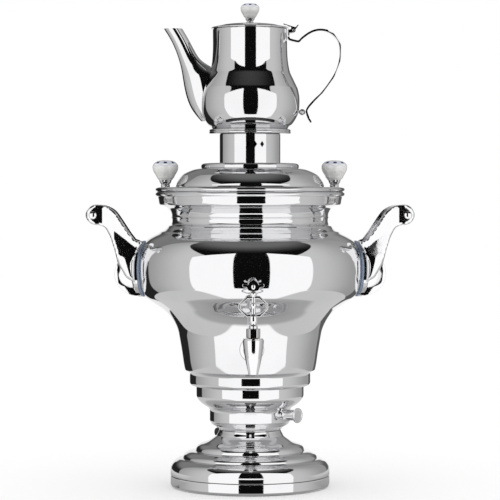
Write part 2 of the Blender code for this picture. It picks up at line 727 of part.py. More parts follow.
def cover_outline():
    """The stepped cover's outer side, from the neck down to the skirt."""
    flare_width = (UPPER_TIER_RADIUS - NECK_RADIUS) * NECK_FLARE_SHARE
    upper_top = NECK_RADIUS + flare_width
    middle_width = MIDDLE_TIER_RADIUS - UPPER_TIER_RADIUS
    lower_width = FOOT_RADIUS - MIDDLE_TIER_RADIUS
    points = arc((upper_top, NECK_TOP), -flare_width, -NECK_FLARE_RISE, 0, 90, 3)
    points += arc(
        (upper_top, MIDDLE_SHOULDER_TOP), UPPER_TIER_RADIUS - upper_top, UPPER_SHOULDER_RISE, 65, 0, 2
    )
    points += arc((UPPER_TIER_RADIUS, LOWER_SHOULDER_TOP), middle_width, MIDDLE_SHOULDER_RISE, 72, 0, 2)
    side_top = COVER_FOOT + COVER_SIDE_HEIGHT
    points += arc((MIDDLE_TIER_RADIUS, side_top), lower_width, LOWER_SHOULDER_RISE, 76, 0, 3)
    points.append((FOOT_RADIUS, COVER_FOOT))
    return points


def make_cover():
    cover = turned("base_cover", cover_outline(), LARGE_SIDES, wall=SHEET)
    hole = rod("gland_hole_cutter", GLAND_RADIUS + FIT, GLAND_REACH * 2, MEDIUM_SIDES)
    direction = level_direction(GLAND_DIRECTION_DEGREES)
    start = direction * (NECK_RADIUS - GLAND_REACH / 2)
    as_cutter(hole, along(direction, (start.x, start.y, gland_height())))
    cut(cover, hole)
    return cover


def gland_height():
    return UPPER_SHOULDER_TOP + NECK_FLARE_RISE * GLAND_HEIGHT_SHARE


def housing_outline():
    """The lower housing's outer side, from its top down to the neck."""
    bowl_width = HOUSING_BOWL_RADIUS - HOUSING_BAND_RADIUS
    foot_width = HOUSING_BAND_RADIUS - NECK_RADIUS
    points = [(HOUSING_BOWL_RADIUS, HOUSING_TOP)]
    points += arc((HOUSING_BAND_RADIUS, BOWL_TOP), bowl_width, HOUSING_BOWL_RISE, 0, -75, 4)
    points.append((HOUSING_BAND_RADIUS, BAND_TOP))
    points += arc((NECK_RADIUS, BAND_FOOT), foot_width, HOUSING_FOOT_RISE, 0, -60, 3)
    points.append((NECK_RADIUS, HOUSING_FOOT))
    return points


def make_housing():
    housing = turned("lower_housing", housing_outline(), LARGE_SIDES, wall=SHEET)
    direction = level_direction(KNOB_DIRECTION_DEGREES)
    hole = rod("bush_hole_cutter", BUSH_RADIUS + FIT, OVERRUN * 2, MEDIUM_SIDES)
    start = direction * (HOUSING_BAND_RADIUS - OVERRUN)
    as_cutter(hole, along(direction, (start.x, start.y, KNOB_HEIGHT)))
    cut(housing, hole)
    place(housing, STEEL)

    rod_foot = BASE_PLATE_LIFT - TIE_NUT_HEIGHT - FIT
    tie_rod = rod("tie_rod", TIE_ROD_RADIUS, HEATER_FOOT - FIT - rod_foot, SMALL_SIDES)
    place(tie_rod, ELEMENT_STEEL, lifted(rod_foot))
    hex_nut(
        "tie_rod_nut", TIE_NUT_RADIUS, TIE_ROD_RADIUS + FIT, TIE_NUT_HEIGHT, ELEMENT_STEEL, lifted(rod_foot)
    )


# Vessel
def make_vessel():
    outline = vessel_outline()
    vessel = turned("water_vessel", outline, LARGE_SIDES, wall=SHEET)
    tap_hole = rod("tap_hole_cutter", TAP_PIPE_RADIUS + FIT, OVERRUN * 2, MEDIUM_SIDES)
    wall_radius = radius_at(outline, TAP_HEIGHT)
    as_cutter(tap_hole, along((0.0, -1.0, 0.0), (0.0, OVERRUN - wall_radius, TAP_HEIGHT)))
    cut(vessel, tap_hole)
    for side, side_name in ((-1, "left"), (1, "right")):
        for height, level_name in handle_bolt_heights():
            hole = rod(
                f"handle_hole_cutter_{side_name}_{level_name}", HANDLE_BOLT_RADIUS + FIT, OVERRUN * 2,
                SMALL_SIDES,
            )
            start = side * (radius_at(outline, height) - OVERRUN)
            as_cutter(hole, along((side, 0.0, 0.0), (start, 0.0, height)))
            cut(vessel, hole)
    place(vessel, STEEL)


def handle_bolt_heights():
    half = HANDLE_BOLT_SPACING / 2
    return ((BELLY_HEIGHT - half, "lower"), (BELLY_HEIGHT + half, "upper"))


# Heater, thermostat and wiring
def make_heater():
    plate = rod("heater_plate", HEATER_PLATE_RADIUS, HEATER_PLATE_THICKNESS, LARGE_SIDES)
    place(plate, ALUMINIUM, lifted(HEATER_FOOT))

    centre = HEATER_FOOT - FIT - ELEMENT_TUBE_RADIUS
    first = KNOB_DIRECTION_DEGREES + ELEMENT_GAP_DEGREES / 2
    sweep = 360 - ELEMENT_GAP_DEGREES
    steps = 16
    line = []
    for step in range(steps + 1):
        point = level_direction(first + sweep * step / steps) * ELEMENT_RING_RADIUS
        line.append((point.x, point.y, centre))
    foot = centre - ELEMENT_TUBE_RADIUS - ELEMENT_TERMINAL_LENGTH
    start = (line[0][0], line[0][1], foot)
    end = (line[-1][0], line[-1][1], foot)
    curve = bpy.data.curves.new("heating_element", "CURVE")
    curve.dimensions = "3D"
    curve.bevel_depth = ELEMENT_TUBE_RADIUS
    curve.bevel_resolution = 2
    curve.use_fill_caps = True
    spline = curve.splines.new("POLY")
    line = [start] + line + [end]
    spline.points.add(len(line) - 1)
    for point, place_on_line in zip(spline.points, line):
        point.co = (*place_on_line, 1.0)
    place(bpy.data.objects.new("heating_element", curve), ELEMENT_STEEL)

    cutout = rod("thermal_cutout", CUTOUT_RADIUS, CUTOUT_HEIGHT, MEDIUM_SIDES)
    direction = level_direction(CUTOUT_DIRECTION_DEGREES)
    spot = direction * CUTOUT_OFFSET
    place(cutout, CERAMIC, Matrix.Translation((spot.x, spot.y, HEATER_FOOT - FIT - CUTOUT_HEIGHT)))


def make_thermostat():
    direction = level_direction(KNOB_DIRECTION_DEGREES)
    frame = along(direction, (0.0, 0.0, KNOB_HEIGHT))
    front = THERMOSTAT_BACK + THERMOSTAT_DEPTH
    bush_end = HOUSING_BAND_RADIUS + BUSH_PROUD
    bore = SPINDLE_RADIUS + FIT
    bore_end = front - SPINDLE_DEPTH_IN_THERMOSTAT
    body = [
        (bore, bush_end),
        (BUSH_RADIUS, bush_end),
        (BUSH_RADIUS, front),
        (THERMOSTAT_RADIUS, front),
        (THERMOSTAT_RADIUS, THERMOSTAT_BACK),
        (0.0, THERMOSTAT_BACK),
    ]
    inside = [(0.0, bore_end), (bore, bore_end)]
    place(turned("thermostat", inside + body, MEDIUM_SIDES), CERAMIC, frame)

    knob_back = bush_end + FIT
    knob_end = knob_back + KNOB_LENGTH
    spindle_foot = bore_end + FIT
    spindle_end = knob_end - KNOB_SKIN - FIT
    spindle = rod("thermostat_spindle", SPINDLE_RADIUS, spindle_end - spindle_foot, SMALL_SIDES)
    place(spindle, BRASS, frame @ lifted(spindle_foot))

    bezel_back = HOUSING_BAND_RADIUS + FIT
    bezel = [
        (BUSH_RADIUS + FIT, bezel_back + BEZEL_THICKNESS),
        (BEZEL_RADIUS, bezel_back + BEZEL_THICKNESS),
        (BEZEL_RADIUS, bezel_back),
        (BUSH_RADIUS + FIT, bezel_back),
    ]
    place(turned("knob_bezel", bezel, MEDIUM_SIDES, closed=True), CHROME, frame)

    flange_back = knob_end - KNOB_FLANGE_THICKNESS
    edge = KNOB_FLANGE_THICKNESS / 4
    knob = [
        (0.0, knob_end),
        (KNOB_FLANGE_RADIUS - edge, knob_end),
        (KNOB_FLANGE_RADIUS, knob_end - edge),
        (KNOB_FLANGE_RADIUS, flange_back),
        (KNOB_SLEEVE_RADIUS, flange_back - edge),
        (KNOB_SLEEVE_RADIUS, knob_back),
        (bore, knob_back),
        (bore, knob_end - KNOB_SKIN),
        (0.0, knob_end - KNOB_SKIN),
    ]
    place(turned("control_knob", knob, MEDIUM_SIDES), CHROME, frame)


def make_mains_side():
    direction = level_direction(GLAND_DIRECTION_DEGREES)
    frame = along(direction, (0.0, 0.0, gland_height()))
    inner = NECK_RADIUS - SHEET - GLAND_FLANGE_DEPTH
    tip = NECK_RADIUS + GLAND_REACH
    gland = [
        (GLAND_BORE_RADIUS, tip),
        (GLAND_TIP_RADIUS, tip),
        (GLAND_RADIUS, tip - GLAND_REACH / 3),
        (GLAND_RADIUS, inner + GLAND_FLANGE_THICKNESS / 2),
        (GLAND_FLANGE_RADIUS, inner + GLAND_FLANGE_THICKNESS / 2),
        (GLAND_FLANGE_RADIUS, inner - GLAND_FLANGE_THICKNESS / 2),
        (GLAND_BORE_RADIUS, inner - GLAND_FLANGE_THICKNESS / 2),
    ]
    place(turned("cord_gland", gland, MEDIUM_SIDES, closed=True), BLACK_RUBBER, frame)

    block = box("terminal_block", (TERMINAL_BLOCK_WIDTH, TERMINAL_BLOCK_LENGTH, TERMINAL_BLOCK_HEIGHT))
    spot = direction * TERMINAL_BLOCK_OFFSET
    lift = BASE_PLATE_TOP + FIT + TERMINAL_BLOCK_HEIGHT / 2
    turn = Matrix.Rotation(math.radians(GLAND_DIRECTION_DEGREES), 4, "Z")
    place(block, CERAMIC, Matrix.Translation((spot.x, spot.y, lift)) @ turn)

    block_top = BASE_PLATE_TOP + FIT + TERMINAL_BLOCK_HEIGHT + WIRE_CLEARANCE
    knob_direction = level_direction(KNOB_DIRECTION_DEGREES)
    across = direction.cross(Vector((0.0, 0.0, 1.0)))
    if across.dot(knob_direction) < 0:
        across.negate()
    side_step = across * TERMINAL_BLOCK_LENGTH / 4
    gland_end = direction * (inner - GLAND_FLANGE_THICKNESS / 2 - WIRE_CLEARANCE)
    bend_in = gland_end - direction * WIRE_RADIUS * 3
    mains_foot = spot - side_step
    halfway_up = (block_top + gland_height()) / 2
    mains_route = (
        (gland_end.x, gland_end.y, gland_height()),
        (bend_in.x, bend_in.y, gland_height() - WIRE_RADIUS * 3),
        (bend_in.x, bend_in.y, halfway_up),
        (mains_foot.x, mains_foot.y, (halfway_up + block_top) / 2),
        (mains_foot.x, mains_foot.y, block_top),
    )
    place(wire("mains_wire", mains_route, WIRE_RADIUS), WIRE_SLEEVE)

    back = knob_direction * (THERMOSTAT_BACK - WIRE_CLEARANCE)
    bend = knob_direction * (TIE_ROD_RADIUS + WIRE_RADIUS * 3)
    aside = across * (TIE_ROD_RADIUS + WIRE_RADIUS * 4)
    supply_foot = spot + side_step
    supply_route = (
        (supply_foot.x, supply_foot.y, block_top),
        (supply_foot.x, supply_foot.y, (halfway_up + block_top) / 2),
        (aside.x, aside.y, halfway_up),
        (aside.x, aside.y, NECK_TOP),
        ((bend.x + aside.x) / 2, (bend.y + aside.y) / 2, (NECK_TOP + KNOB_HEIGHT) / 2),
        (bend.x, bend.y, KNOB_HEIGHT - WIRE_RADIUS),
        (back.x, back.y, KNOB_HEIGHT),
    )
    place(wire("supply_wire", supply_route, WIRE_RADIUS), WIRE_SLEEVE)

    terminal = level_direction(KNOB_DIRECTION_DEGREES + ELEMENT_GAP_DEGREES / 2) * ELEMENT_RING_RADIUS
    terminal_foot = HEATER_FOOT - FIT - 2 * ELEMENT_TUBE_RADIUS - ELEMENT_TERMINAL_LENGTH - WIRE_CLEARANCE
    middle = knob_direction * (THERMOSTAT_BACK + THERMOSTAT_DEPTH / 2)
    body_top = KNOB_HEIGHT + THERMOSTAT_RADIUS + WIRE_CLEARANCE
    heater_route = (
        (middle.x, middle.y, body_top),
        (middle.x, middle.y, body_top + WIRE_RADIUS * 1.5),
        ((middle.x + terminal.x) / 2, (middle.y + terminal.y) / 2, body_top + WIRE_RADIUS * 1.5),
        (terminal.x, terminal.y, terminal_foot - WIRE_RADIUS * 2),
        (terminal.x, terminal.y, terminal_foot),
    )
    place(wire("heater_wire", heater_route, WIRE_RADIUS), WIRE_SLEEVE)


# Tap
def tap_centre(height):
    return Matrix.Translation((0.0, -TAP_REACH, height))


def make_tap():
    outline = vessel_outline()
    outward = (0.0, -1.0, 0.0)
    inner_radius = min(
        radius_at(outline, TAP_HEIGHT - TAP_WASHER_RADIUS), radius_at(outline, TAP_HEIGHT)
    ) - SHEET
    washer_face = math.sqrt(inner_radius**2 - TAP_WASHER_RADIUS**2) - FIT
    washer_back = washer_face - TAP_WASHER_THICKNESS
    nut_face = washer_back - FIT
    nut_back = nut_face - TAP_NUT_THICKNESS
    pipe_start = nut_back - TAP_PIPE_END
    bore = TAP_PIPE_RADIUS + FIT
    washer = [
        (bore, washer_face), (TAP_WASHER_RADIUS, washer_face), (TAP_WASHER_RADIUS, washer_back),
        (bore, washer_back),
    ]
    on_pipe = along(outward, (0.0, 0.0, TAP_HEIGHT))
    place(turned("tap_washer", washer, MEDIUM_SIDES, closed=True), GASKET_SILICONE, on_pipe)
    hex_nut("tap_back_nut", TAP_NUT_RADIUS, bore, TAP_NUT_THICKNESS, BRASS, on_pipe @ lifted(nut_back))

    wall = max(radius_at(outline, TAP_HEIGHT + ESCUTCHEON_RADIUS), radius_at(outline, TAP_HEIGHT))
    back = wall + FIT
    rosette = [
        (bore, back + ESCUTCHEON_THICKNESS),
        (ESCUTCHEON_FACE_RADIUS, back + ESCUTCHEON_THICKNESS),
        (ESCUTCHEON_RADIUS, back + ESCUTCHEON_THICKNESS / 3),
        (ESCUTCHEON_RADIUS, back),
        (bore, back),
    ]
    place(turned("tap_escutcheon", rosette, MEDIUM_SIDES, closed=True), CHROME, on_pipe)

    body_top = TAP_HEIGHT + TAP_CONE_ABOVE_PIPE
    body_foot = TAP_HEIGHT - TAP_CONE_BELOW_PIPE
    plug_foot = TAP_HEIGHT - TAP_PLUG_BELOW_PIPE
    plug_bore = TAP_PLUG_RADIUS + FIT
    cone = [
        (plug_bore, body_top),
        (TAP_CONE_TOP_RADIUS, body_top),
        (TAP_CONE_TIP_RADIUS, body_foot),
        (TAP_SPOUT_BORE_RADIUS, body_foot),
        (TAP_SPOUT_BORE_RADIUS, plug_foot - FIT),
        (plug_bore, plug_foot - FIT),
    ]
    body = turned("tap_body", cone, MEDIUM_SIDES, closed=True)
    body.matrix_world = tap_centre(0.0)
    pipe = rod("tap_pipe_joiner", TAP_PIPE_RADIUS, TAP_REACH - plug_bore - pipe_start, MEDIUM_SIDES)
    as_cutter(pipe, along(outward, (0.0, -pipe_start, TAP_HEIGHT)))
    cut(body, pipe, "UNION")
    passage = rod("tap_pipe_cutter", TAP_PIPE_BORE_RADIUS, TAP_REACH - pipe_start + OVERRUN, MEDIUM_SIDES)
    as_cutter(passage, along(outward, (0.0, OVERRUN - pipe_start, TAP_HEIGHT)))
    cut(body, passage)
    place(body, CHROME)

    plug_height = body_top - plug_foot
    plug = rod("tap_plug", TAP_PLUG_RADIUS, plug_height, MEDIUM_SIDES)
    down = rod("plug_outlet_cutter", TAP_SPOUT_BORE_RADIUS, TAP_PLUG_BELOW_PIPE + OVERRUN, SMALL_SIDES)
    as_cutter(down, tap_centre(plug_foot - OVERRUN))
    across = rod("plug_inlet_cutter", TAP_SPOUT_BORE_RADIUS, TAP_PLUG_RADIUS + OVERRUN, SMALL_SIDES)
    as_cutter(across, along((1.0, 0.0, 0.0), (0.0, -TAP_REACH, TAP_HEIGHT)))
    place(plug, BRASS, tap_centre(plug_foot))
    cut(plug, down)
    cut(plug, across)

    hex_foot = body_top + FIT
    hex_top = hex_foot + TAP_HEX_HEIGHT
    hex_nut(
        "tap_gland_nut", TAP_HEX_RADIUS, TAP_STEM_RADIUS + FIT, TAP_HEX_HEIGHT, CHROME, tap_centre(hex_foot)
    )
    make_key(hex_foot, hex_top)


def make_key(stem_foot, hex_top):
    """The key is drawn in its closed position: its openwork ring lies across the view."""
    ring_foot = hex_top + TAP_STEM_HEIGHT
    ring_top = ring_foot + KEY_RING_HEIGHT
    neck_top = ring_top + KEY_NECK_HEIGHT
    stem = [
        (0.0, neck_top + KEY_RING_BAR / 2),
        (KEY_NECK_RADIUS / 2, neck_top + KEY_RING_BAR / 2),
        (KEY_NECK_RADIUS, neck_top - KEY_NECK_HEIGHT / 2),
    ]
    stem += [
        (KEY_BALUSTER_RADIUS * across, ring_top - KEY_RING_HEIGHT * down)
        for across, down in KEY_BALUSTER_SHARES
    ]
    stem += [
        (TAP_STEM_RADIUS * across, ring_foot - TAP_STEM_HEIGHT * down) for across, down in KEY_STEM_SHARES
    ]
    stem += [(TAP_STEM_RADIUS, stem_foot), (0.0, stem_foot)]
    key = turned("tap_key", stem, SMALL_SIDES)
    key.matrix_world = tap_centre(0.0)

    half = KEY_RING_HEIGHT / 2
    middle = (ring_foot + ring_top) / 2
    flat_half = KEY_RING_HALF_WIDTH * KEY_RING_FLAT_SHARE
    side_half = KEY_RING_HEIGHT * KEY_RING_SIDE_SHARE / 2
    outer = octagon(KEY_RING_HALF_WIDTH, half, flat_half, side_half, middle)
    inner = octagon(
        KEY_RING_HALF_WIDTH - KEY_RING_BAR, half - KEY_RING_BAR, flat_half - KEY_RING_BAR / 2,
        side_half - KEY_RING_BAR / 4, middle,
    )
    ring = flat("key_ring_joiner", (outer, inner), KEY_RING_THICKNESS)
    as_cutter(ring, tap_centre(0.0))
    cut(key, ring, "UNION")

    crown = flat("key_crown_joiner", (crown_outline(neck_top),), KEY_CROWN_THICKNESS)
    as_cutter(crown, tap_centre(0.0))
    cut(key, crown, "UNION")
    place(key, CHROME)


def octagon(half_width, half_height, flat_half, side_half, middle):
    corners = (
        (flat_half, half_height), (half_width, side_half), (half_width, -side_half), (flat_half, -half_height)
    )
    right = [(across, middle + up) for across, up in corners]
    left = [(-across, up) for across, up in reversed(right)]
    return right + left


def crown_outline(foot):
    """Three lobes on a narrow neck, symmetric about the stem."""
    wide = KEY_CROWN_HALF_WIDTH
    tall = KEY_CROWN_HEIGHT
    right = [(wide * across, foot + tall * up) for across, up in KEY_CROWN_SHARES]
    left = [(-across, up) for across, up in reversed(right)]
    return right + [(0.0, foot + tall)] + left


# Side handles
def handle_point(across, up):
    """A share of the handle's reach and height as (x, z), for the handle at +X."""
    foot = BELLY_HEIGHT - HANDLE_BELOW_BELLY
    return (VESSEL_BELLY_RADIUS + HANDLE_REACH * across, foot + HANDLE_HEIGHT * up)


def hugging_outline(inner_offset, outer_offset, inner_straight=False):
    """A strip that follows the vessel's side over the height of the handle's flange."""
    outline = vessel_outline()
    foot = BELLY_HEIGHT - HANDLE_BELOW_BELLY
    steps = 6
    heights = [foot + HANDLE_FLANGE_HEIGHT * step / steps for step in range(steps + 1)]
    outer = [(radius_at(outline, height) + outer_offset, height) for height in heights]
    if inner_straight:
        deep = math.sqrt(VESSEL_BELLY_RADIUS**2 - HANDLE_HALF_WIDTH**2) - 2 * OVERRUN
        inner = [(deep, heights[-1]), (deep, heights[0])]
    else:
        inner = [(radius_at(outline, height) + inner_offset, height) for height in reversed(heights)]
    return outer + inner


def root_line(root_shares):
    """Down the middle of the flange's thickness, where an arm or the web is joined to it."""
    outline = vessel_outline()
    foot = BELLY_HEIGHT - HANDLE_BELOW_BELLY
    low, high = (foot + HANDLE_HEIGHT * share for share in root_shares)
    steps = 5
    heights = [high + (low - high) * step / steps for step in range(steps + 1)]
    middle = GASKET_THICKNESS + FIT + HANDLE_FLANGE_THICKNESS / 2
    return [(radius_at(outline, height) + middle, height) for height in heights]


def arm_outline():
    tip = handle_point(*HANDLE_TIP_CENTRE_SHARES)
    lower = [handle_point(*share) for share in ARM_LOWER_EDGE_SHARES]
    upper = [handle_point(*share) for share in ARM_UPPER_EDGE_SHARES]
    tip_arc = arc(tip, HANDLE_TIP_RADIUS, HANDLE_TIP_RADIUS, -100, 100, 8)
    return lower + tip_arc + upper + root_line(ARM_ROOT_SHARES)


def web_outline():
    edge = [handle_point(*share) for share in WEB_OUTER_EDGE_SHARES + WEB_INNER_EDGE_SHARES]
    return edge + root_line(WEB_ROOT_SHARES)


def make_handle(side, side_name):
    """One casting, its gasket, grip and bolts; the left one is the right one mirrored."""
    outline = vessel_outline()
    grip_centre = handle_point(*GRIP_CENTRE_SHARES)
    flip = Matrix.Scale(side, 4, Vector((1.0, 0.0, 0.0)))

    gasket = flat(f"handle_gasket_{side_name}", (hugging_outline(0.0, GASKET_THICKNESS, True),),
                  2 * GASKET_HALF_WIDTH)
    mirror_mesh(gasket, flip)
    cut(gasket, bpy.data.objects["vessel_envelope_cutter"])

    casting = flat(
        f"handle_casting_{side_name}",
        (hugging_outline(GASKET_THICKNESS + FIT, GASKET_THICKNESS + FIT + HANDLE_FLANGE_THICKNESS),),
        2 * (HANDLE_HALF_WIDTH - HANDLE_FLANGE_INSET),
    )
    mirror_mesh(casting, flip)
    arm_centre = HANDLE_HALF_WIDTH - HANDLE_ARM_THICKNESS / 2
    for front, front_name in ((-1, "front"), (1, "rear")):
        arm = flat(f"arm_joiner_{side_name}_{front_name}", (arm_outline(),), HANDLE_ARM_THICKNESS)
        arm.data.transform(Matrix.Translation((0.0, front * arm_centre, 0.0)))
        mirror_mesh(arm, flip)
        as_cutter(arm)
        cut(casting, arm, "UNION")
    web = flat(f"web_joiner_{side_name}", (web_outline(),), 2 * HANDLE_WEB_HALF_WIDTH)
    mirror_mesh(web, flip)
    as_cutter(web)
    cut(casting, web, "UNION")

    bolt_hole = rod(
        f"grip_hole_cutter_{side_name}", GRIP_BOLT_RADIUS + FIT, 2 * (HANDLE_HALF_WIDTH + OVERRUN),
        SMALL_SIDES,
    )
    hole_start = (side * grip_centre[0], -HANDLE_HALF_WIDTH - OVERRUN, grip_centre[1])
    as_cutter(bolt_hole, along((0.0, 1.0, 0.0), hole_start))
    cut(casting, bolt_hole)

    for height, level_name in handle_bolt_heights():
        wall = radius_at(outline, height)
        head_edges = (height - HANDLE_BOLT_HEAD_RADIUS, height + HANDLE_BOLT_HEAD_RADIUS)
        seat = min(radius_at(outline, edge) for edge in head_edges) - SHEET - 2 * FIT
        flange_start = wall + GASKET_THICKNESS + FIT
        bolt_end = flange_start + HANDLE_FLANGE_THICKNESS * HANDLE_BOLT_BITE_SHARE
        hole = rod(
            f"flange_hole_cutter_{side_name}_{level_name}", HANDLE_BOLT_RADIUS + FIT,
            bolt_end + FIT - seat, SMALL_SIDES,
        )
        as_cutter(hole, along((side, 0.0, 0.0), (side * seat, 0.0, height)))
        cut(casting, hole)
        cut(gasket, hole)
        head_back = seat - HANDLE_BOLT_HEAD_HEIGHT
        bolt = [
            (0.0, bolt_end),
            (HANDLE_BOLT_RADIUS, bolt_end),
            (HANDLE_BOLT_RADIUS, seat),
            (HANDLE_BOLT_HEAD_RADIUS, seat),
            (HANDLE_BOLT_HEAD_RADIUS, head_back + HANDLE_BOLT_HEAD_HEIGHT / 2),
            (HANDLE_BOLT_HEAD_RADIUS * HANDLE_BOLT_FACE_SHARE, head_back),
            (0.0, head_back),
        ]
        shape = turned(f"handle_bolt_{side_name}_{level_name}", bolt, SMALL_SIDES)
        place(shape, STEEL, along((side, 0.0, 0.0), (0.0, 0.0, height)))
    place(gasket, GASKET_SILICONE)
    place(casting, CHROME)
    make_grip(side, side_name, grip_centre)


def mirror_mesh(item, flip):
    """A mesh mirrored in place, with its faces turned to point outwards again."""
    item.data.transform(flip)
    if flip.determinant() < 0:
        item.data.flip_normals()


def make_grip(side, side_name, centre):
    inner_half = HANDLE_HALF_WIDTH - HANDLE_ARM_THICKNESS - FIT
    bore = GRIP_BOLT_RADIUS + FIT
    frame = along((0.0, -1.0, 0.0), (side * centre[0], 0.0, centre[1]))
    end_radius = GRIP_RADIUS * GRIP_END_SHARE
    straight_half = inner_half * GRIP_STRAIGHT_SHARE
    grip = [
        (bore, inner_half),
        (end_radius, inner_half),
        (GRIP_RADIUS, straight_half),
        (GRIP_RADIUS, -straight_half),
        (end_radius, -inner_half),
        (bore, -inner_half),
    ]
    place(turned(f"grip_{side_name}", grip, MEDIUM_SIDES, closed=True), PORCELAIN, frame)

    face = HANDLE_HALF_WIDTH + FIT
    cap = [(0.0, face + GRIP_CAP_HEIGHT)]
    cap += [(GRIP_CAP_RADIUS * across, face + GRIP_CAP_HEIGHT * up) for across, up in GRIP_CAP_SHARES]
    rod_end = -HANDLE_HALF_WIDTH - GRIP_CAP_HEIGHT / 2
    bolt = cap + [(GRIP_BOLT_RADIUS, face), (GRIP_BOLT_RADIUS, rod_end), (0.0, rod_end)]
    place(turned(f"grip_bolt_{side_name}", bolt, SMALL_SIDES), CHROME, frame)

    nut = cap + [(bore, face), (bore, face + GRIP_CAP_HEIGHT / 2), (0.0, face + GRIP_CAP_HEIGHT / 2)]
    back = along((0.0, 1.0, 0.0), (side * centre[0], 0.0, centre[1]))
    place(turned(f"grip_cap_nut_{side_name}", nut, SMALL_SIDES), CHROME, back)


# Lid, collar and pot seat
def make_lid():
    bead = (VESSEL_MOUTH_RADIUS, LID_BEAD_HEIGHT)
    dome = (LID_TOP_RADIUS, LID_FLANGE_TOP + LID_DOME_FOOT_RISE)
    outline = [(LID_HOLE_RADIUS, LID_TOP)]
    outline += arc(dome, LID_DOME_RADIUS - LID_TOP_RADIUS, LID_DOME_RISE, 90, 0, 4)
    outline.append((LID_DOME_RADIUS, LID_FLANGE_TOP))
    outline += arc(bead, BEAD_RADIUS, BEAD_RADIUS, 90, -90, 3)
    lid = turned("lid", outline, LARGE_SIDES, wall=SHEET)
    for side, side_name in ((-1, "left"), (1, "right")):
        hole = rod(f"stud_hole_cutter_{side_name}", LID_STUD_RADIUS + FIT, OVERRUN, SMALL_SIDES)
        as_cutter(hole, Matrix.Translation((side * LID_KNOB_OFFSET, 0.0, LID_FLANGE_TOP - OVERRUN / 2)))
        cut(lid, hole)
    place(lid, STEEL)

    ring_top = LID_FLANGE_TOP - SHEET - FIT
    ring_foot = ring_top - LID_RING_DEPTH
    ring = [
        (LID_RING_RADIUS, ring_top), (LID_RING_RADIUS, ring_foot),
        (LID_RING_RADIUS - SHEET, ring_foot), (LID_RING_RADIUS - SHEET, ring_top),
    ]
    place(turned("lid_locating_ring", ring, LARGE_SIDES, closed=True), STEEL)

    base_top = COLLAR_FOOT + COLLAR_BASE_HEIGHT
    corner = (COLLAR_BASE_RADIUS - COLLAR_BASE_ROUNDING, base_top - COLLAR_BASE_ROUNDING)
    base = [(COLLAR_RADIUS + FIT, base_top)]
    base += arc(corner, COLLAR_BASE_ROUNDING, COLLAR_BASE_ROUNDING, 90, 0, 2)
    base.append((COLLAR_BASE_RADIUS, COLLAR_FOOT))
    place(turned("collar_base", base, UPPER_SIDES, wall=SHEET), STEEL)

    tube = [
        (COLLAR_RADIUS, COLLAR_TOP), (COLLAR_RADIUS, COLLAR_FOOT),
        (COLLAR_RADIUS - SHEET, COLLAR_FOOT), (COLLAR_RADIUS - SHEET, COLLAR_TOP),
    ]
    collar = turned("collar_tube", tube, UPPER_SIDES, closed=True)
    vent = (
        (VENT_HALF_WIDTH, 0.0), (0.0, -VENT_HALF_HEIGHT), (-VENT_HALF_WIDTH, 0.0), (0.0, VENT_HALF_HEIGHT)
    )
    for group in VENT_GROUP_DIRECTIONS_DEGREES:
        for index in range(VENTS_IN_GROUP):
            degrees = group + (index - (VENTS_IN_GROUP - 1) / 2) * VENT_SPACING_DEGREES
            cutter = flat(f"vent_cutter_{group:.0f}_{index}", (vent,), OVERRUN)
            spot = level_direction(degrees) * COLLAR_RADIUS
            turn = Matrix.Rotation(math.radians(degrees + 90), 4, "Z")
            as_cutter(cutter, Matrix.Translation((spot.x, spot.y, COLLAR_TOP - VENT_BELOW_TOP)) @ turn)
            cut(collar, cutter)
    place(collar, STEEL)

    recess = POT_BASE_RADIUS + 2 * FIT
    floor = POT_SEAT_TOP - POT_SEAT_RECESS_DEPTH
    lip = COLLAR_RADIUS - SHEET - FIT
    edge = POT_SEAT_EDGE
    seat = [
        (POT_SEAT_HOLE_RADIUS, floor),
        (recess, floor),
        (recess + edge / 2, POT_SEAT_TOP),
        (POT_SEAT_RADIUS - edge, POT_SEAT_TOP),
        (POT_SEAT_RADIUS, POT_SEAT_TOP - edge),
        (POT_SEAT_RADIUS, POT_SEAT_FOOT + edge),
        (POT_SEAT_RADIUS - edge, POT_SEAT_FOOT),
        (lip, POT_SEAT_FOOT),
        (lip, POT_SEAT_FOOT - POT_SEAT_LIP_DEPTH),
        (lip - POT_SEAT_LIP_WIDTH, POT_SEAT_FOOT - POT_SEAT_LIP_DEPTH),
        (lip - POT_SEAT_LIP_WIDTH, POT_SEAT_FOOT),
        (POT_SEAT_HOLE_RADIUS, POT_SEAT_FOOT),
    ]
    place(turned("pot_seat", seat, UPPER_SIDES, closed=True), STEEL)

    for side, side_name in ((-1, "left"), (1, "right")):
        spot = Matrix.Translation((side * LID_KNOB_OFFSET, 0.0, LID_FLANGE_TOP + FIT))
        make_knob(
            f"lid_knob_{side_name}", f"lid_knob_socket_{side_name}", spot, LID_KNOB_RADIUS, LID_KNOB_HEIGHT,
            LID_SOCKET_RADIUS, LID_SOCKET_HEIGHT, LID_STUD_RADIUS, LID_STUD_LENGTH,
        )


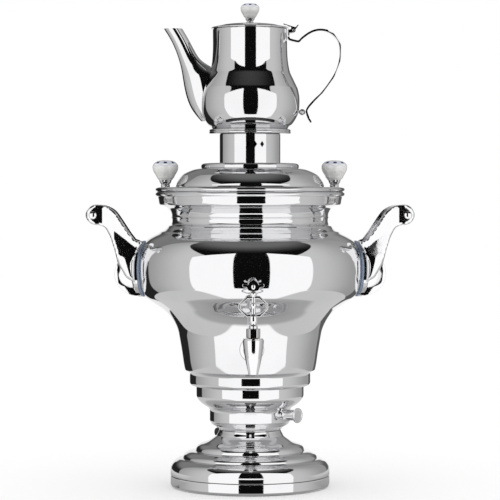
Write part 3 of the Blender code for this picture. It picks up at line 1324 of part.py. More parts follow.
def make_knob(
    knob_name, socket_name, spot, radius, height, socket_radius, socket_height, stud_radius, stud_length
):
    """A porcelain knob in a metal socket whose stud goes down through the lid."""
    floor = socket_height * SOCKET_FLOOR_SHARE
    stem_top = socket_radius * KNOB_STEM_SHARE
    stem_tip = socket_radius * KNOB_STEM_TIP_SHARE
    socket = [
        (stem_top + FIT, socket_height),
        (socket_radius, socket_height),
        (socket_radius * SOCKET_FOOT_SHARE, floor / 2),
        (socket_radius * SOCKET_FOOT_SHARE, 0.0),
        (stud_radius, 0.0),
        (stud_radius, -stud_length),
        (0.0, -stud_length),
    ]
    inside = [(0.0, floor), (stem_tip + FIT, floor)]
    place(turned(socket_name, inside + socket, MEDIUM_SIDES), CHROME, spot)

    rim = socket_height + FIT
    knob = [(radius * across, rim + height * up) for across, up in KNOB_OUTLINE_SHARES]
    knob += [(stem_top, rim), (stem_tip, floor + FIT), (0.0, floor + FIT)]
    place(turned(knob_name, knob, MEDIUM_SIDES), PORCELAIN, spot)


# Teapot
def make_pot():
    outline = pot_outline()
    pot = turned("teapot_body", outline, UPPER_SIDES, wall=SHEET)
    height = POT_FOOT + POT_HEIGHT * STRAINER_HEIGHT_SHARE
    wall = radius_at(outline, height)
    for row in (-1, 0, 1):
        for column in (-1, 0, 1):
            hole = rod(f"strainer_cutter_{row}_{column}", STRAINER_HOLE_RADIUS, OVERRUN * 2, STRAINER_SIDES)
            across = column * STRAINER_HOLE_PITCH
            up = height + row * STRAINER_HOLE_PITCH
            as_cutter(hole, along((-1.0, 0.0, 0.0), (OVERRUN - wall, across, up)))
            cut(pot, hole)
    place(pot, STEEL)
    make_spout(outline)
    make_strap(outline)
    make_pot_lid()
    make_hinge(outline)


def make_spout(outline):
    """A hollow loft through oval sections, cut to the pot's side and level at its mouth."""
    corners = SPOUT_CORNERS
    shape = bmesh.new()
    rings = []
    for outer_x, outer_z, inner_x, inner_z, half_width in SPOUT_SECTION_SHARES:
        outer = Vector((-SPOUT_REACH * outer_x, 0.0, POT_FOOT + POT_HEIGHT * outer_z))
        inner = Vector((-SPOUT_REACH * inner_x, 0.0, POT_FOOT + POT_HEIGHT * inner_z))
        centre = (outer + inner) / 2
        half = (outer - inner) / 2
        ring = []
        for corner in range(corners):
            angle = 2 * math.pi * corner / corners
            offset = half * math.cos(angle)
            offset.y = SPOUT_REACH * half_width * math.sin(angle)
            ring.append(shape.verts.new(centre + offset))
        rings.append(ring)
    for upper, lower in zip(rings, rings[1:]):
        for corner in range(corners):
            after = (corner + 1) % corners
            shape.faces.new((upper[corner], upper[after], lower[after], lower[corner]))
    bmesh.ops.recalc_face_normals(shape, faces=shape.faces)
    middle = rings[0][0].co - (rings[0][0].co + rings[0][corners // 2].co) / 2
    if shape.faces[0].normal.dot(middle) < 0:
        bmesh.ops.reverse_faces(shape, faces=shape.faces)
    mesh = bpy.data.meshes.new("teapot_spout")
    shape.to_mesh(mesh)
    shape.free()
    mesh.shade_smooth()
    spout = bpy.data.objects.new("teapot_spout", mesh)
    solidify = spout.modifiers.new("Wall", "SOLIDIFY")
    solidify.thickness = SPOUT_WALL
    solidify.offset = -1
    cut(spout, solid_envelope("pot_envelope_cutter", outline, FIT, UPPER_SIDES))
    mouth_size = (SPOUT_REACH, SPOUT_REACH, POT_HEIGHT / 2)
    mouth = box("spout_mouth_cutter", mouth_size)
    mouth_height = POT_FOOT + POT_HEIGHT * SPOUT_MOUTH_SHARE + mouth_size[2] / 2
    as_cutter(mouth, Matrix.Translation((-SPOUT_REACH, 0.0, mouth_height)))
    cut(spout, mouth)
    place(spout, STEEL)


def strap_line():
    tall = POT_HEIGHT - HINGE_BRACKET_HEIGHT
    points = [(STRAP_REACH * across, POT_FOOT + tall * up) for across, up in STRAP_LINE_SHARES]
    plate = POT_NECK_RADIUS + FIT + STRAP_THICKNESS / 2
    points[0] = (plate, points[0][1])
    points[1] = (plate, points[1][1])
    return points


def make_strap(outline):
    line = smooth_line(strap_line(), 2)
    shape = bmesh.new()
    near = [shape.verts.new((across, -STRAP_WIDTH / 2, up)) for across, up in line]
    far = [shape.verts.new((across, STRAP_WIDTH / 2, up)) for across, up in line]
    for index in range(len(line) - 1):
        shape.faces.new((near[index], near[index + 1], far[index + 1], far[index]))
    mesh = bpy.data.meshes.new("teapot_handle")
    shape.to_mesh(mesh)
    shape.free()
    mesh.shade_smooth()
    strap = bpy.data.objects.new("teapot_handle", mesh)
    solidify = strap.modifiers.new("Wall", "SOLIDIFY")
    solidify.thickness = STRAP_THICKNESS
    solidify.offset = 0
    place(strap, STEEL)

    height = POT_FOOT + POT_HEIGHT * BALL_HEIGHT_SHARE
    wall = radius_at(outline, height)
    strap_side = min(across for across, up in line if abs(up - height) < STRAP_WIDTH) - STRAP_THICKNESS / 2
    ball_end = strap_side - FIT
    ball_centre = ball_end - BALL_RADIUS
    start = wall + 2 * FIT
    stub_share = BALL_STUB_RADIUS / BALL_RADIUS
    stub_angle = math.degrees(math.asin(min(stub_share, 1.0)))
    ball = arc((0.0, ball_centre), BALL_RADIUS, BALL_RADIUS, 90, stub_angle - 90, 6)
    ball[0] = (0.0, ball_end)
    ball += [(BALL_STUB_RADIUS, start), (0.0, start)]
    place(turned("handle_ball", ball, SMALL_SIDES), CHROME, along((1.0, 0.0, 0.0), (0.0, 0.0, height)))


def make_pot_lid():
    side_top = POT_LID_FOOT + POT_LID_SIDE
    stud_bore = POT_STUD_RADIUS + FIT
    outer = [(stud_bore, POT_LID_TOP)]
    outer += arc(
        (POT_LID_TOP_RADIUS, side_top), POT_LID_RADIUS - POT_LID_TOP_RADIUS, POT_LID_RISE, 90, 0, 5
    )
    outer.append((POT_LID_RADIUS, POT_LID_FOOT))
    lip = POT_NECK_RADIUS - SHEET - POT_LID_LIP_GAP
    lip_foot = POT_TOP - POT_LID_LIP_DEPTH
    inner_radius = lip - POT_LID_THICKNESS
    under = [(lip, POT_LID_FOOT), (lip, lip_foot), (inner_radius, lip_foot), (inner_radius, POT_LID_FOOT)]
    under += arc(
        (POT_LID_TOP_RADIUS, side_top - POT_LID_THICKNESS), inner_radius - POT_LID_TOP_RADIUS,
        POT_LID_RISE, 20, 90, 3,
    )
    under.append((stud_bore, POT_LID_TOP - POT_LID_THICKNESS))
    place(turned("teapot_lid", outer + under, UPPER_SIDES, closed=True), STEEL)

    spot = lifted(POT_LID_TOP + FIT)
    make_knob(
        "teapot_lid_knob", "teapot_knob_socket", spot, POT_KNOB_RADIUS, POT_KNOB_HEIGHT,
        POT_SOCKET_RADIUS, POT_SOCKET_HEIGHT, POT_STUD_RADIUS, POT_STUD_LENGTH,
    )


def pot_lid_surface(across):
    """Height of the pot lid's upper side at a distance from the axis."""
    side_top = POT_LID_FOOT + POT_LID_SIDE
    share = (across - POT_LID_TOP_RADIUS) / (POT_LID_RADIUS - POT_LID_TOP_RADIUS)
    share = min(max(share, 0.0), 1.0)
    return side_top + POT_LID_RISE * math.sqrt(1.0 - share**2)


def make_hinge(outline):
    """A bracket on the pot, a leaf on its lid, and the pin through both, along Y."""
    axis = (HINGE_OFFSET, POT_TOP - HINGE_BELOW_RIM)
    hole = list(reversed(arc(axis, HINGE_PIN_RADIUS + FIT, HINGE_PIN_RADIUS + FIT, 0, 337.5, 15)))
    barrel = HINGE_BARREL_RADIUS
    wall = radius_at(outline, POT_TOP - HINGE_BRACKET_HEIGHT / 2) + 2 * FIT
    plate = wall + HINGE_BRACKET_THICKNESS
    foot = POT_TOP - HINGE_BRACKET_HEIGHT
    top = POT_TOP - FIT
    bracket_outline = [(wall, top), (wall, foot), (plate, foot), (plate, axis[1] - barrel)]
    bracket_outline += arc(axis, barrel, barrel, -90, 60, 8)
    bracket_outline.append((plate, top))
    bracket = flat("hinge_bracket", (bracket_outline, hole), 2 * HINGE_HALF_WIDTH)
    slot_width = 2 * (HINGE_LUG_HALF_WIDTH + FIT)
    slot = box("hinge_slot_cutter", (4 * barrel, slot_width, 4 * barrel))
    slot_start = plate + FIT
    as_cutter(slot, Matrix.Translation((slot_start + 2 * barrel, 0.0, axis[1])))
    cut(bracket, slot)
    place(bracket, STEEL)

    leaf_foot = axis[1] + barrel
    edge = pot_lid_surface(HINGE_LEAF_START) + FIT
    under = POT_LID_FOOT + POT_LID_SIDE + FIT
    tab_end = (axis[0] + HINGE_TAB_REACH, leaf_foot + HINGE_TAB_RISE)
    thick = HINGE_LEAF_THICKNESS
    leaf_outline = [
        (HINGE_LEAF_START, edge),
        (HINGE_LEAF_START, edge + thick),
        (POT_LID_RADIUS, under + thick + FIT),
        (axis[0] + barrel, leaf_foot + thick),
        (tab_end[0] - thick, tab_end[1]),
        tab_end,
        (axis[0] + barrel + thick / 2, leaf_foot - thick / 2),
    ]
    leaf_outline += arc(axis, barrel, barrel, 30, -180, 10)
    leaf_outline.append((axis[0] - barrel, under))
    leaf_outline += lid_top_line(leaf_outline[-1][0])
    leaf = flat("lid_hinge_leaf", (leaf_outline, hole), 2 * HINGE_LUG_HALF_WIDTH)
    place(leaf, STEEL)

    pin_length = 2 * HINGE_HALF_WIDTH
    pin = rod("hinge_pin", HINGE_PIN_RADIUS, pin_length, 12)
    place(pin, STEEL, along((0.0, 1.0, 0.0), (axis[0], -HINGE_HALF_WIDTH, axis[1])))


def lid_top_line(start):
    """Points a little above the pot lid, from the hinge in towards the leaf's end."""
    steps = 4
    found = []
    for step in range(1, steps):
        across = start + (HINGE_LEAF_START - start) * step / steps
        rise = pot_lid_surface(across) + FIT
        found.append((across, rise))
    return found


def carry_moving_pieces():
    carried(
        "lid_lift", (0.0, 0.0, VESSEL_TOP),
        ("lid", "lid_locating_ring", "collar_base", "collar_tube", "pot_seat", "lid_knob_left",
         "lid_knob_right", "lid_knob_socket_left", "lid_knob_socket_right"),
    )
    carried(
        "teapot_lift", (0.0, 0.0, POT_FOOT),
        ("teapot_body", "teapot_spout", "teapot_handle", "handle_ball", "hinge_bracket", "hinge_pin"),
    )
    carried(
        "teapot_lid_hinge", (HINGE_OFFSET, 0.0, POT_TOP - HINGE_BELOW_RIM),
        ("teapot_lid", "lid_hinge_leaf", "teapot_lid_knob", "teapot_knob_socket"),
    )
    carried("tap_turn", (0.0, -TAP_REACH, TAP_HEIGHT), ("tap_key", "tap_plug"))
    knob = level_direction(KNOB_DIRECTION_DEGREES) * HOUSING_BAND_RADIUS
    carried("thermostat_turn", (knob.x, knob.y, KNOB_HEIGHT), ("control_knob", "thermostat_spindle"))


def make_samovar():
    global parts, cutters
    clear_scene()
    parts = new_collection("samovar")
    cutters = new_collection("cutters")
    cutters.hide_render = True
    outline = vessel_outline()
    solid_envelope("vessel_envelope_cutter", outline, FIT, LARGE_SIDES)
    make_foot()
    make_housing()
    make_vessel()
    make_heater()
    make_thermostat()
    make_mains_side()
    make_tap()
    for side, side_name in ((-1, "left"), (1, "right")):
        make_handle(side, side_name)
    make_lid()
    make_pot()
    carry_moving_pieces()


make_samovar()
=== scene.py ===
import json
import math

import bmesh
import bpy
from mathutils import Matrix, Vector
from mathutils.geometry import interpolate_bezier


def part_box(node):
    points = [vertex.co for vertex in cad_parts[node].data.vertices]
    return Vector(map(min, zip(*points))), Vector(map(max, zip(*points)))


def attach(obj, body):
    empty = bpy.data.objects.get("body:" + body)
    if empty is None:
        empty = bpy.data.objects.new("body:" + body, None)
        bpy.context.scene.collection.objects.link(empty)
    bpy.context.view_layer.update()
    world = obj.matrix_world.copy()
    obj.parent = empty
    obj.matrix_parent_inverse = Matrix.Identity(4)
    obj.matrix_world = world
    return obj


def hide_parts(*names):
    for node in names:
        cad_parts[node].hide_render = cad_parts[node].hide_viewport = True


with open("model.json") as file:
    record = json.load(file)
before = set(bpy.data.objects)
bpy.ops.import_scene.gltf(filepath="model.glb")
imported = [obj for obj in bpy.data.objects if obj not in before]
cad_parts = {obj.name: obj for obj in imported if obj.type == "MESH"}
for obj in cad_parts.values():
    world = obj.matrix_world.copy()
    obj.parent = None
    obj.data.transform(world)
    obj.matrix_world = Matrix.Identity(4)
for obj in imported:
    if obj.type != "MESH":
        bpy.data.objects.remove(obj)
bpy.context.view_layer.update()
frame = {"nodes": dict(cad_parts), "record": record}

mm = 0.001
print("frame loaded:", len(frame["nodes"]), "nodes")


def low(node):
    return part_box(node)[0] / mm


def high(node):
    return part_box(node)[1] / mm


def middle(node):
    return (low(node) + high(node)) / 2


def ends(node):  # how high a node's foot and top are
    return low(node).z, high(node).z


# Shader maths
class Wire:  # a node's output that plain arithmetic works on
    def __init__(self, paint, socket):
        self.paint = paint
        self.socket = socket

    def maths(self, operation, *values):
        return self.paint.node("ShaderNodeMath", {"operation": operation}, dict(enumerate(values)))

    def __add__(self, other):
        return self.maths("ADD", self, other)

    def __radd__(self, other):
        return self.maths("ADD", other, self)

    def __sub__(self, other):
        return self.maths("SUBTRACT", self, other)

    def __rsub__(self, other):
        return self.maths("SUBTRACT", other, self)

    def __mul__(self, other):
        return self.maths("MULTIPLY", self, other)

    def __rmul__(self, other):
        return self.maths("MULTIPLY", other, self)

    def __abs__(self):
        return self.maths("ABSOLUTE", self)


class Paint:  # the node tree of a material or of the world
    def __init__(self, owner):
        owner.use_nodes = True
        self.tree = owner.node_tree
        self.tree.nodes.clear()

    def node(self, kind, settings=None, inputs=None, output=0):
        made = self.tree.nodes.new(kind)
        for name, value in (settings or {}).items():
            setattr(made, name, value)
        for name, value in (inputs or {}).items():
            if isinstance(value, Wire):
                self.tree.links.new(value.socket, made.inputs[name])
            else:
                made.inputs[name].default_value = value
        return Wire(self, made.outputs[output]) if len(made.outputs) else None

    def step(self, value, start, end):  # 0 before start, 1 after end
        inputs = {"Value": value, "From Min": start, "From Max": end}
        return self.node("ShaderNodeMapRange", {"interpolation_type": "SMOOTHSTEP"}, inputs)

    def between(self, value, start, end, soft):
        rising = self.step(value, start - soft, start + soft)
        return rising * (1 - self.step(value, end - soft, end + soft))

    def mix(self, factor, first, second):
        settings = {"data_type": "RGBA"}
        return self.node("ShaderNodeMix", settings, {0: factor, 6: first, 7: second}, 2)

    def noise(self, vector, scale, detail=2.0, roughness=0.5):
        inputs = {"Vector": vector, "Scale": scale, "Detail": detail, "Roughness": roughness}
        return self.node("ShaderNodeTexNoise", {}, inputs)

    def split(self, vector):
        return [self.node("ShaderNodeSeparateXYZ", {}, {0: vector}, axis) for axis in range(3)]

    def join(self, x, y, z):
        return self.node("ShaderNodeCombineXYZ", {}, {0: x, 1: y, 2: z})

    def bump(self, height, strength, distance):
        return self.node("ShaderNodeBump", {}, {"Height": height, "Strength": strength, "Distance": distance})

    def length(self, vector):
        return self.node("ShaderNodeVectorMath", {"operation": "LENGTH"}, {0: vector}, 1)

    def ray(self, kind):
        return self.node("ShaderNodeLightPath", output=kind)

    def glow(self, strength):
        return self.node("ShaderNodeEmission", {}, {"Color": shade(1.0), "Strength": strength})

    def either(self, factor, first, second):
        return self.node("ShaderNodeMixShader", {}, {0: factor, 1: first, 2: second})

    def surface(self, shader, kind="Material"):
        self.node(f"ShaderNodeOutput{kind}", {}, {"Surface": shader})


def makeMaterial(name, values, draw):
    material = bpy.data.materials.new(name)
    paint = Paint(material)
    place = paint.node("ShaderNodeTexCoord", output="Object")
    paint.surface(paint.node("ShaderNodeBsdfPrincipled", {}, {**values, **draw(paint, place)}))
    return material


def shade(red, green=None, blue=None):
    return (red, red if green is None else green, red if blue is None else blue, 1.0)


polishedSteel = {
    "colour": shade(0.80, 0.80, 0.81),
    "stain": shade(0.76, 0.76, 0.77),
    "polishLines": 700.0,  # per metre along the outline
    "smudges": 16.0,
    "smudgeEdge": (0.42, 0.72),
    "smudgeRoughness": 0.015,
    "roughness": 0.030,
    "lineRoughness": 0.030,
    "lineRelief": 0.02,
}


def drawPolishedSteel(paint, place):
    look = polishedSteel
    x, y, z = paint.split(place)
    radius = paint.length(paint.join(x, y, 0.0))
    lines = paint.noise(paint.join(radius, z, 0.0), look["polishLines"], 3.0)
    smudge = paint.noise(place, look["smudges"], 3.0)
    cloud = paint.step(smudge, *look["smudgeEdge"])
    rough = look["roughness"] + lines * look["lineRoughness"] + cloud * look["smudgeRoughness"]
    return {
        "Base Color": paint.mix(cloud, look["colour"], look["stain"]),
        "Roughness": rough,
        "Normal": paint.bump(lines, look["lineRelief"], 0.0001),
    }


castChrome = {
    "colour": shade(0.84, 0.84, 0.85),
    "pit": shade(0.72, 0.72, 0.74),
    "ripple": 70.0,
    "grain": 900.0,
    "wornEdge": (0.60, 0.75),
    "roughness": 0.035,
    "rippleRoughness": 0.03,
    "wornRoughness": 0.05,
    "relief": 0.10,
}


def drawCastChrome(paint, place):
    look = castChrome
    ripple = paint.noise(place, look["ripple"], 2.0)
    grain = paint.noise(place, look["grain"], 2.0)
    worn = paint.step(grain, *look["wornEdge"])
    rough = look["roughness"] + ripple * look["rippleRoughness"] + worn * look["wornRoughness"]
    return {
        "Base Color": paint.mix(worn, look["colour"], look["pit"]),
        "Roughness": rough,
        "Normal": paint.bump(ripple + grain * 0.05, look["relief"], 0.0006),
    }


porcelain = {
    "white": shade(0.96, 0.955, 0.94),
    "shadow": shade(0.91, 0.905, 0.89),
    "blue": shade(0.012, 0.020, 0.11),
    "wash": shade(0.45, 0.50, 0.72),
    "dots": 8,
    "dotRing": (0.830, 0.915),  # shares of the knob's height
    "scallop": (0.700, 0.735),
    "washRing": (0.80, 0.94),
    "wave": 0.035,
}


def drawPorcelain(paint, place):
    cloud = paint.noise(place, 90.0, 3.0)
    return {
        "Base Color": paint.mix(paint.step(cloud, 0.35, 0.75), porcelain["white"], porcelain["shadow"]),
        "Roughness": 0.12 + cloud * 0.06,
        "Normal": paint.bump(cloud, 0.05, 0.0004),
    }


def drawPaintedPorcelain(paint, place):
    look = porcelain
    base = drawPorcelain(paint, place)
    spot = paint.node("ShaderNodeAttribute", {"attribute_name": "knobPlace"}, {}, "Vector")
    across, deep, height = paint.split(spot)
    turn = across.maths("ARCTAN2", across, deep)
    wave = (turn * look["dots"]).maths("COSINE", turn * look["dots"])
    ring = paint.between(height, *look["dotRing"], 0.012)
    petals = paint.step(wave, 0.15, 0.45) * ring
    scallop = paint.between(height + wave * look["wave"], *look["scallop"], 0.012)
    washed = paint.mix(scallop * 0.55, base["Base Color"], look["wash"])
    washed = paint.mix(paint.between(height, *look["washRing"], 0.03) * 0.5, washed, look["wash"])
    base["Base Color"] = paint.mix(petals, washed, look["blue"])
    return base


def drawMoulded(colour, second, scale, roughness, relief):
    def draw(paint, place):
        fine = paint.noise(place, scale, 3.0, 0.6)
        broad = paint.noise(place, scale * 0.05, 2.0)
        spread = paint.step(fine + broad * 0.6, 0.60, 1.05)
        return {
            "Base Color": paint.mix(spread, shade(*colour), shade(*second)),
            "Roughness": roughness + fine * 0.12,
            "Normal": paint.bump(fine, relief, 0.0003),
        }
    return draw


metal = {"Metallic": 1.0}
glazed = {"Coat Weight": 0.7, "Coat Roughness": 0.06, "Specular IOR Level": 0.5}
plain = {"Metallic": 0.0}
materials = {
    "polished_steel": makeMaterial("polishedSteel", metal, drawPolishedSteel),
    "chrome": makeMaterial("castChrome", metal, drawCastChrome),
    "porcelain": makeMaterial("porcelain", glazed, drawPorcelain),
    "painted_porcelain": makeMaterial("paintedPorcelain", glazed, drawPaintedPorcelain),
}
# name, kind, colour, second colour, grain per metre, roughness and relief
moulded = {
    "silicone": ("blueGreySilicone", plain, (0.24, 0.30, 0.41), (0.30, 0.36, 0.47), 1400.0, 0.38, 0.15),
    "rubber": ("blackRubber", plain, (0.018,), (0.035,), 1100.0, 0.62, 0.35),
    "black_plastic": ("blackPlastic", plain, (0.020,), (0.032,), 1800.0, 0.36, 0.20),
    "electrical_ceramic": (
        "electricalCeramic", plain, (0.78, 0.75, 0.68), (0.66, 0.62, 0.54), 700.0, 0.50, 0.20,
    ),
    "heater_aluminium": ("heaterAluminium", metal, (0.62,), (0.50,), 500.0, 0.34, 0.25),
    "element_steel": ("elementSteel", metal, (0.24, 0.23, 0.22), (0.16, 0.13, 0.11), 600.0, 0.40, 0.25),
    "brass": ("brass", metal, (0.74, 0.56, 0.26), (0.60, 0.42, 0.17), 400.0, 0.20, 0.10),
    "wire_sleeve": ("wireSleeve", plain, (0.50, 0.07, 0.05), (0.36, 0.04, 0.03), 900.0, 0.50, 0.20),
}
for slotName, (materialName, kind, *look) in moulded.items():
    materials[slotName] = makeMaterial(materialName, kind, drawMoulded(*look))
print("materials made:", len(materials))


# Outlines: a knot is (radius, height, heading), in mm and degrees; 0 heads outwards, 90 up.
# A knot without a heading is a corner, and one with two arrives by the first and leaves by the second.
def heading(degrees):
    return Vector((math.cos(math.radians(degrees)), 0.0, math.sin(math.radians(degrees))))


def bend(start, leaving, end, arriving, spacing):
    turn = leaving.angle(arriving)
    chord = end - start
    first = second = chord.length / (3 * math.cos(turn / 4) ** 2)
    cross = leaving.x * arriving.z - leaving.z * arriving.x
    if abs(cross) > 0.08:
        s = (chord.x * arriving.z - chord.z * arriving.x) / cross
        t = (leaving.x * chord.z - leaving.z * chord.x) / cross
        if s > 0 and t > 0 and max(s, t) < 2 * chord.length:
            full = 4 / 3 * math.tan(turn / 4) / math.tan(turn / 2)
            first, second = full * s, full * t
    count = max(3, round(chord.length / spacing) + 1)
    return interpolate_bezier(start, start + leaving * first, end - arriving * second, end, count)


def trimmed(line, length):
    line = list(line)
    while len(line) > 2 and (line[-1] - line[-2]).length < length:
        length -= (line[-1] - line[-2]).length
        line.pop()
    reach = (line[-1] - line[-2]).length
    line[-1] = line[-1].lerp(line[-2], min(length / reach, 0.6))
    return line


def curve(*knots, spacing=1.5, fillet=0.4):
    runs = []
    for start, end in zip(knots, knots[1:]):
        a, b = Vector((start[0], 0.0, start[1])), Vector((end[0], 0.0, end[1]))
        along = (b - a).normalized()
        leaving = along if len(start) < 3 or start[-1] is None else heading(start[-1])
        arriving = along if len(end) < 3 or end[2] is None else heading(end[2])
        runs.append([Vector(point) for point in bend(a, leaving, b, arriving, spacing)])
    line = runs[0]
    for run in runs[1:]:
        before, after = (line[-1] - line[-2]).normalized(), (run[1] - run[0]).normalized()
        turn = before.angle(after)
        if turn > math.radians(14) and fillet:
            cut = fillet * math.tan(min(turn, 2.6) / 2)
            line = trimmed(line, cut)
            run = trimmed(run[::-1], cut)[::-1]
            line += [Vector(point) for point in bend(line[-1], before, run[0], after, cut)[1:-1]] + run
        else:
            line += run[1:]
    return line


def walled(outer, wall, skip=2):
    inner = []
    for index in range(0, len(outer), skip):
        before, after = outer[max(index - 1, 0)], outer[min(index + 1, len(outer) - 1)]
        side = (after - before).normalized()
        inner.append(outer[index] + Vector((-side.z, 0.0, side.x)) * wall)
    return outer + inner[::-1]


def spun(outline, steps=128):
    shape = bmesh.new()
    points = [shape.verts.new(point * mm) for point in outline]
    edges = [shape.edges.new(pair) for pair in zip(points, points[1:] + points[:1])]
    bmesh.ops.spin(
        shape, geom=points + edges, cent=(0, 0, 0), axis=(0, 0, 1), angle=math.tau, steps=steps,
        use_merge=True,
    )
    bmesh.ops.remove_doubles(shape, verts=shape.verts, dist=0.000008)
    bmesh.ops.recalc_face_normals(shape, faces=shape.faces)
    return shape


def moved(shape, matrix):
    bmesh.ops.transform(shape, matrix=matrix, verts=shape.verts)
    return shape


def at(x, y, z):
    return Matrix.Translation(Vector((x, y, z)) * mm)


def facing(direction, x, y, z):
    turn = Vector((0, 0, 1)).rotation_difference(Vector(direction)).to_matrix().to_4x4()
    return at(x, y, z) @ turn


def rod(radius, length, place, sides=32):
    shape = bmesh.new()
    bmesh.ops.create_cone(
        shape, cap_ends=True, segments=sides, radius1=radius * mm, radius2=radius * mm, depth=length * mm
    )
    return moved(shape, place)


def slit(sides, length, across, up, place):  # a cutter along X with the given half width and half height
    shape = rod(1.0, length, Matrix.Rotation(math.pi / 2, 4, "Y"), sides)
    bmesh.ops.scale(shape, vec=(1.0, across, up), verts=shape.verts)
    return moved(shape, place)


def joined(*shapes):
    whole = shapes[0]
    for shape in shapes[1:]:
        mesh = bpy.data.meshes.new("part")
        shape.to_mesh(mesh)
        shape.free()
        whole.from_mesh(mesh)
        bpy.data.meshes.remove(mesh)
    return whole


def asObject(name, shape):
    mesh = bpy.data.meshes.new(name)
    shape.to_mesh(mesh)
    shape.free()
    piece = bpy.data.objects.new(name, mesh)
    bpy.context.scene.collection.objects.link(piece)
    return piece


def settled(piece):
    bpy.context.view_layer.update()
    mesh = bpy.data.meshes.new_from_object(piece.evaluated_get(bpy.context.evaluated_depsgraph_get()))
    piece.modifiers.clear()
    piece.data = mesh


def carved(piece, *cutters, operation="DIFFERENCE"):
    tools = [asObject("cutter", cutter) for cutter in cutters]
    for tool in tools:
        change = piece.modifiers.new("Cut", "BOOLEAN")
        change.object = tool
        change.operation = operation
        change.solver = "EXACT"
    settled(piece)
    for tool in tools:
        bpy.data.objects.remove(tool)
    return piece


def finished(piece, slot, body, *nodes, finish=None, sharp=32):
    piece.data.materials.clear()
    piece.data.materials.append(materials[finish or slot])
    piece.data.shade_smooth()
    piece.data.set_sharp_from_angle(angle=math.radians(sharp))
    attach(piece, body)
    if nodes:
        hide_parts(*nodes)
    return piece


def made(name, shape, slot, body, *nodes, sharp=32):
    return finished(asObject(name, shape), slot, body, *nodes, sharp=sharp)


# Foot
footSizes = {
    "skirt": 85.9,
    "wall": 0.8,
    "curl": 2.4,
    "sideTop": 17.4,
    "middleTier": (72.4, 31.0),
    "upperTier": (58.6, 38.8),
    "flare": (52.5, 46.6),
    "neck": 33.5,
}


def makeFoot():
    size = footSizes
    rim = size["skirt"]
    bottom, seam = ends("base_skirt")
    skirt = curve(
        (rim - 1.0 - size["curl"], bottom + 0.6), (rim - size["curl"], bottom, 0),
        (rim, bottom + size["curl"], 90), (rim, seam - 0.5, 90), (rim - 0.5, seam, 180),
    )
    made("skirt", spun(walled(skirt, size["wall"])), "polished_steel", "samovar", "base_skirt")

    foot, neckTop = ends("base_cover")
    (middleRadius, middleFoot), (upperRadius, upperFoot) = size["middleTier"], size["upperTier"]
    flareRadius, flareFoot = size["flare"]
    cover = curve(
        (rim - 0.5, foot, 0), (rim, foot + 0.5, 90), (rim, size["sideTop"], 90),
        (middleRadius + 1.2, middleFoot - 0.1, 178), (middleRadius, middleFoot + 0.7, 90),
        (upperRadius + 1.2, upperFoot - 0.1, 178), (upperRadius, upperFoot + 0.7, 90),
        (flareRadius, flareFoot - 0.1, 165), (45.0, 49.0, 146), (35.8, 55.6, 104),
        (size["neck"], neckTop - 0.4, 92), (size["neck"] - 0.4, neckTop, 180),
        spacing=1.0, fillet=0.5,
    )
    made("steppedCover", spun(walled(cover, size["wall"])), "polished_steel", "samovar", "base_cover")


# Housing between the neck and the vessel
housingSizes = {
    "wall": 0.8,
    "foot": 33.9,
    "band": 43.7,
    "bandFoot": 71.2,
    "bandTop": 83.6,
    "bowl": 58.3,
    "bowlTop": 99.6,
    "knobHole": 4.4,
}


def makeHousing():
    size = housingSizes
    foot, top = ends("lower_housing")
    outline = curve(
        (size["foot"] - 0.8, foot, 0), (size["foot"], foot + 0.5, 60), (41.2, 67.6, 38),
        (size["band"] - 0.4, size["bandFoot"] - 0.6, 30, 90), (size["band"], size["bandFoot"] + 0.4, 90),
        (size["band"], size["bandTop"] - 2.4, 90), (46.2, 86.4, 28), (size["bowl"], size["bowlTop"], 90),
        (size["bowl"], top - 0.5, 90), (size["bowl"] - 0.5, top, 180),
        spacing=0.9, fillet=0.4,
    )
    casing = asObject("housing", spun(walled(outline, size["wall"])))
    place = knobSizes["outwards"] * middle("knob_bezel").xy.length
    hole = facing(knobSizes["outwards"], place.x, place.y, knobSizes["height"])
    finished(carved(casing, rod(size["knobHole"], 20.0, hole)), "polished_steel", "samovar", "lower_housing")


# Temperature knob on the housing's band, with its bezel
knobSizes = {
    "outwards": Vector((0.788011, -0.615661, 0.0)),
    "height": middle("control_knob").z,
    "start": 46.2,
    "bezelFoot": 43.4,
    "bezelGap": 0.3,
    "sleeve": 5.7,
    "flange": 8.0,
    "flangeThickness": 2.4,
    "length": 18.0,
}


def makeTemperatureKnob():
    size = knobSizes
    end = size["start"] + size["length"]
    stand = end - size["flangeThickness"]
    outline = curve(
        (0.0, end - 0.5), (size["flange"] - 2.2, end - 0.4, 0), (size["flange"] - 1.4, end, 0),
        (size["flange"] - 0.5, end, 0), (size["flange"], end - 0.6, -90), (size["flange"], stand + 0.6, -90),
        (size["flange"] - 0.5, stand, 180), (size["sleeve"] + 0.5, stand, 180),
        (size["sleeve"], stand - 0.5, -90), (size["sleeve"], size["start"], -90), (4.6, size["start"], 180),
        (3.2, size["start"]), (3.2, end - 2.6), (0.0, end - 2.6),
        spacing=0.6, fillet=0.25,
    )
    outwards = size["outwards"]
    place = facing(outwards, 0.0, 0.0, size["height"])
    knob = moved(spun(outline, 64), place)
    made("temperatureKnob", knob, "chrome", "control_knob", "control_knob")

    foot, above = size["bezelFoot"], size["start"] - size["bezelGap"]
    ring = curve(
        (4.5, above), (5.2, above, 0), (6.2, above - 0.7, -90), (6.2, foot, -90), (4.5, foot),
        spacing=0.5, fillet=0.2,
    )
    made("knobBezel", moved(spun(ring, 64), place), "chrome", "samovar", "knob_bezel")


# Vessel
vesselSizes = {
    "wall": 0.8,
    "tier": 65.5,
    "tierTop": 121.6,
    "cone": (70.6, 126.6),
    "coneTop": (77.2, 165.3),
    "belly": (122.4, 236.6),
    "neck": 98.6,
    "mouth": 100.3,
    "bead": 2.3,
    "tapHole": 6.8,
}


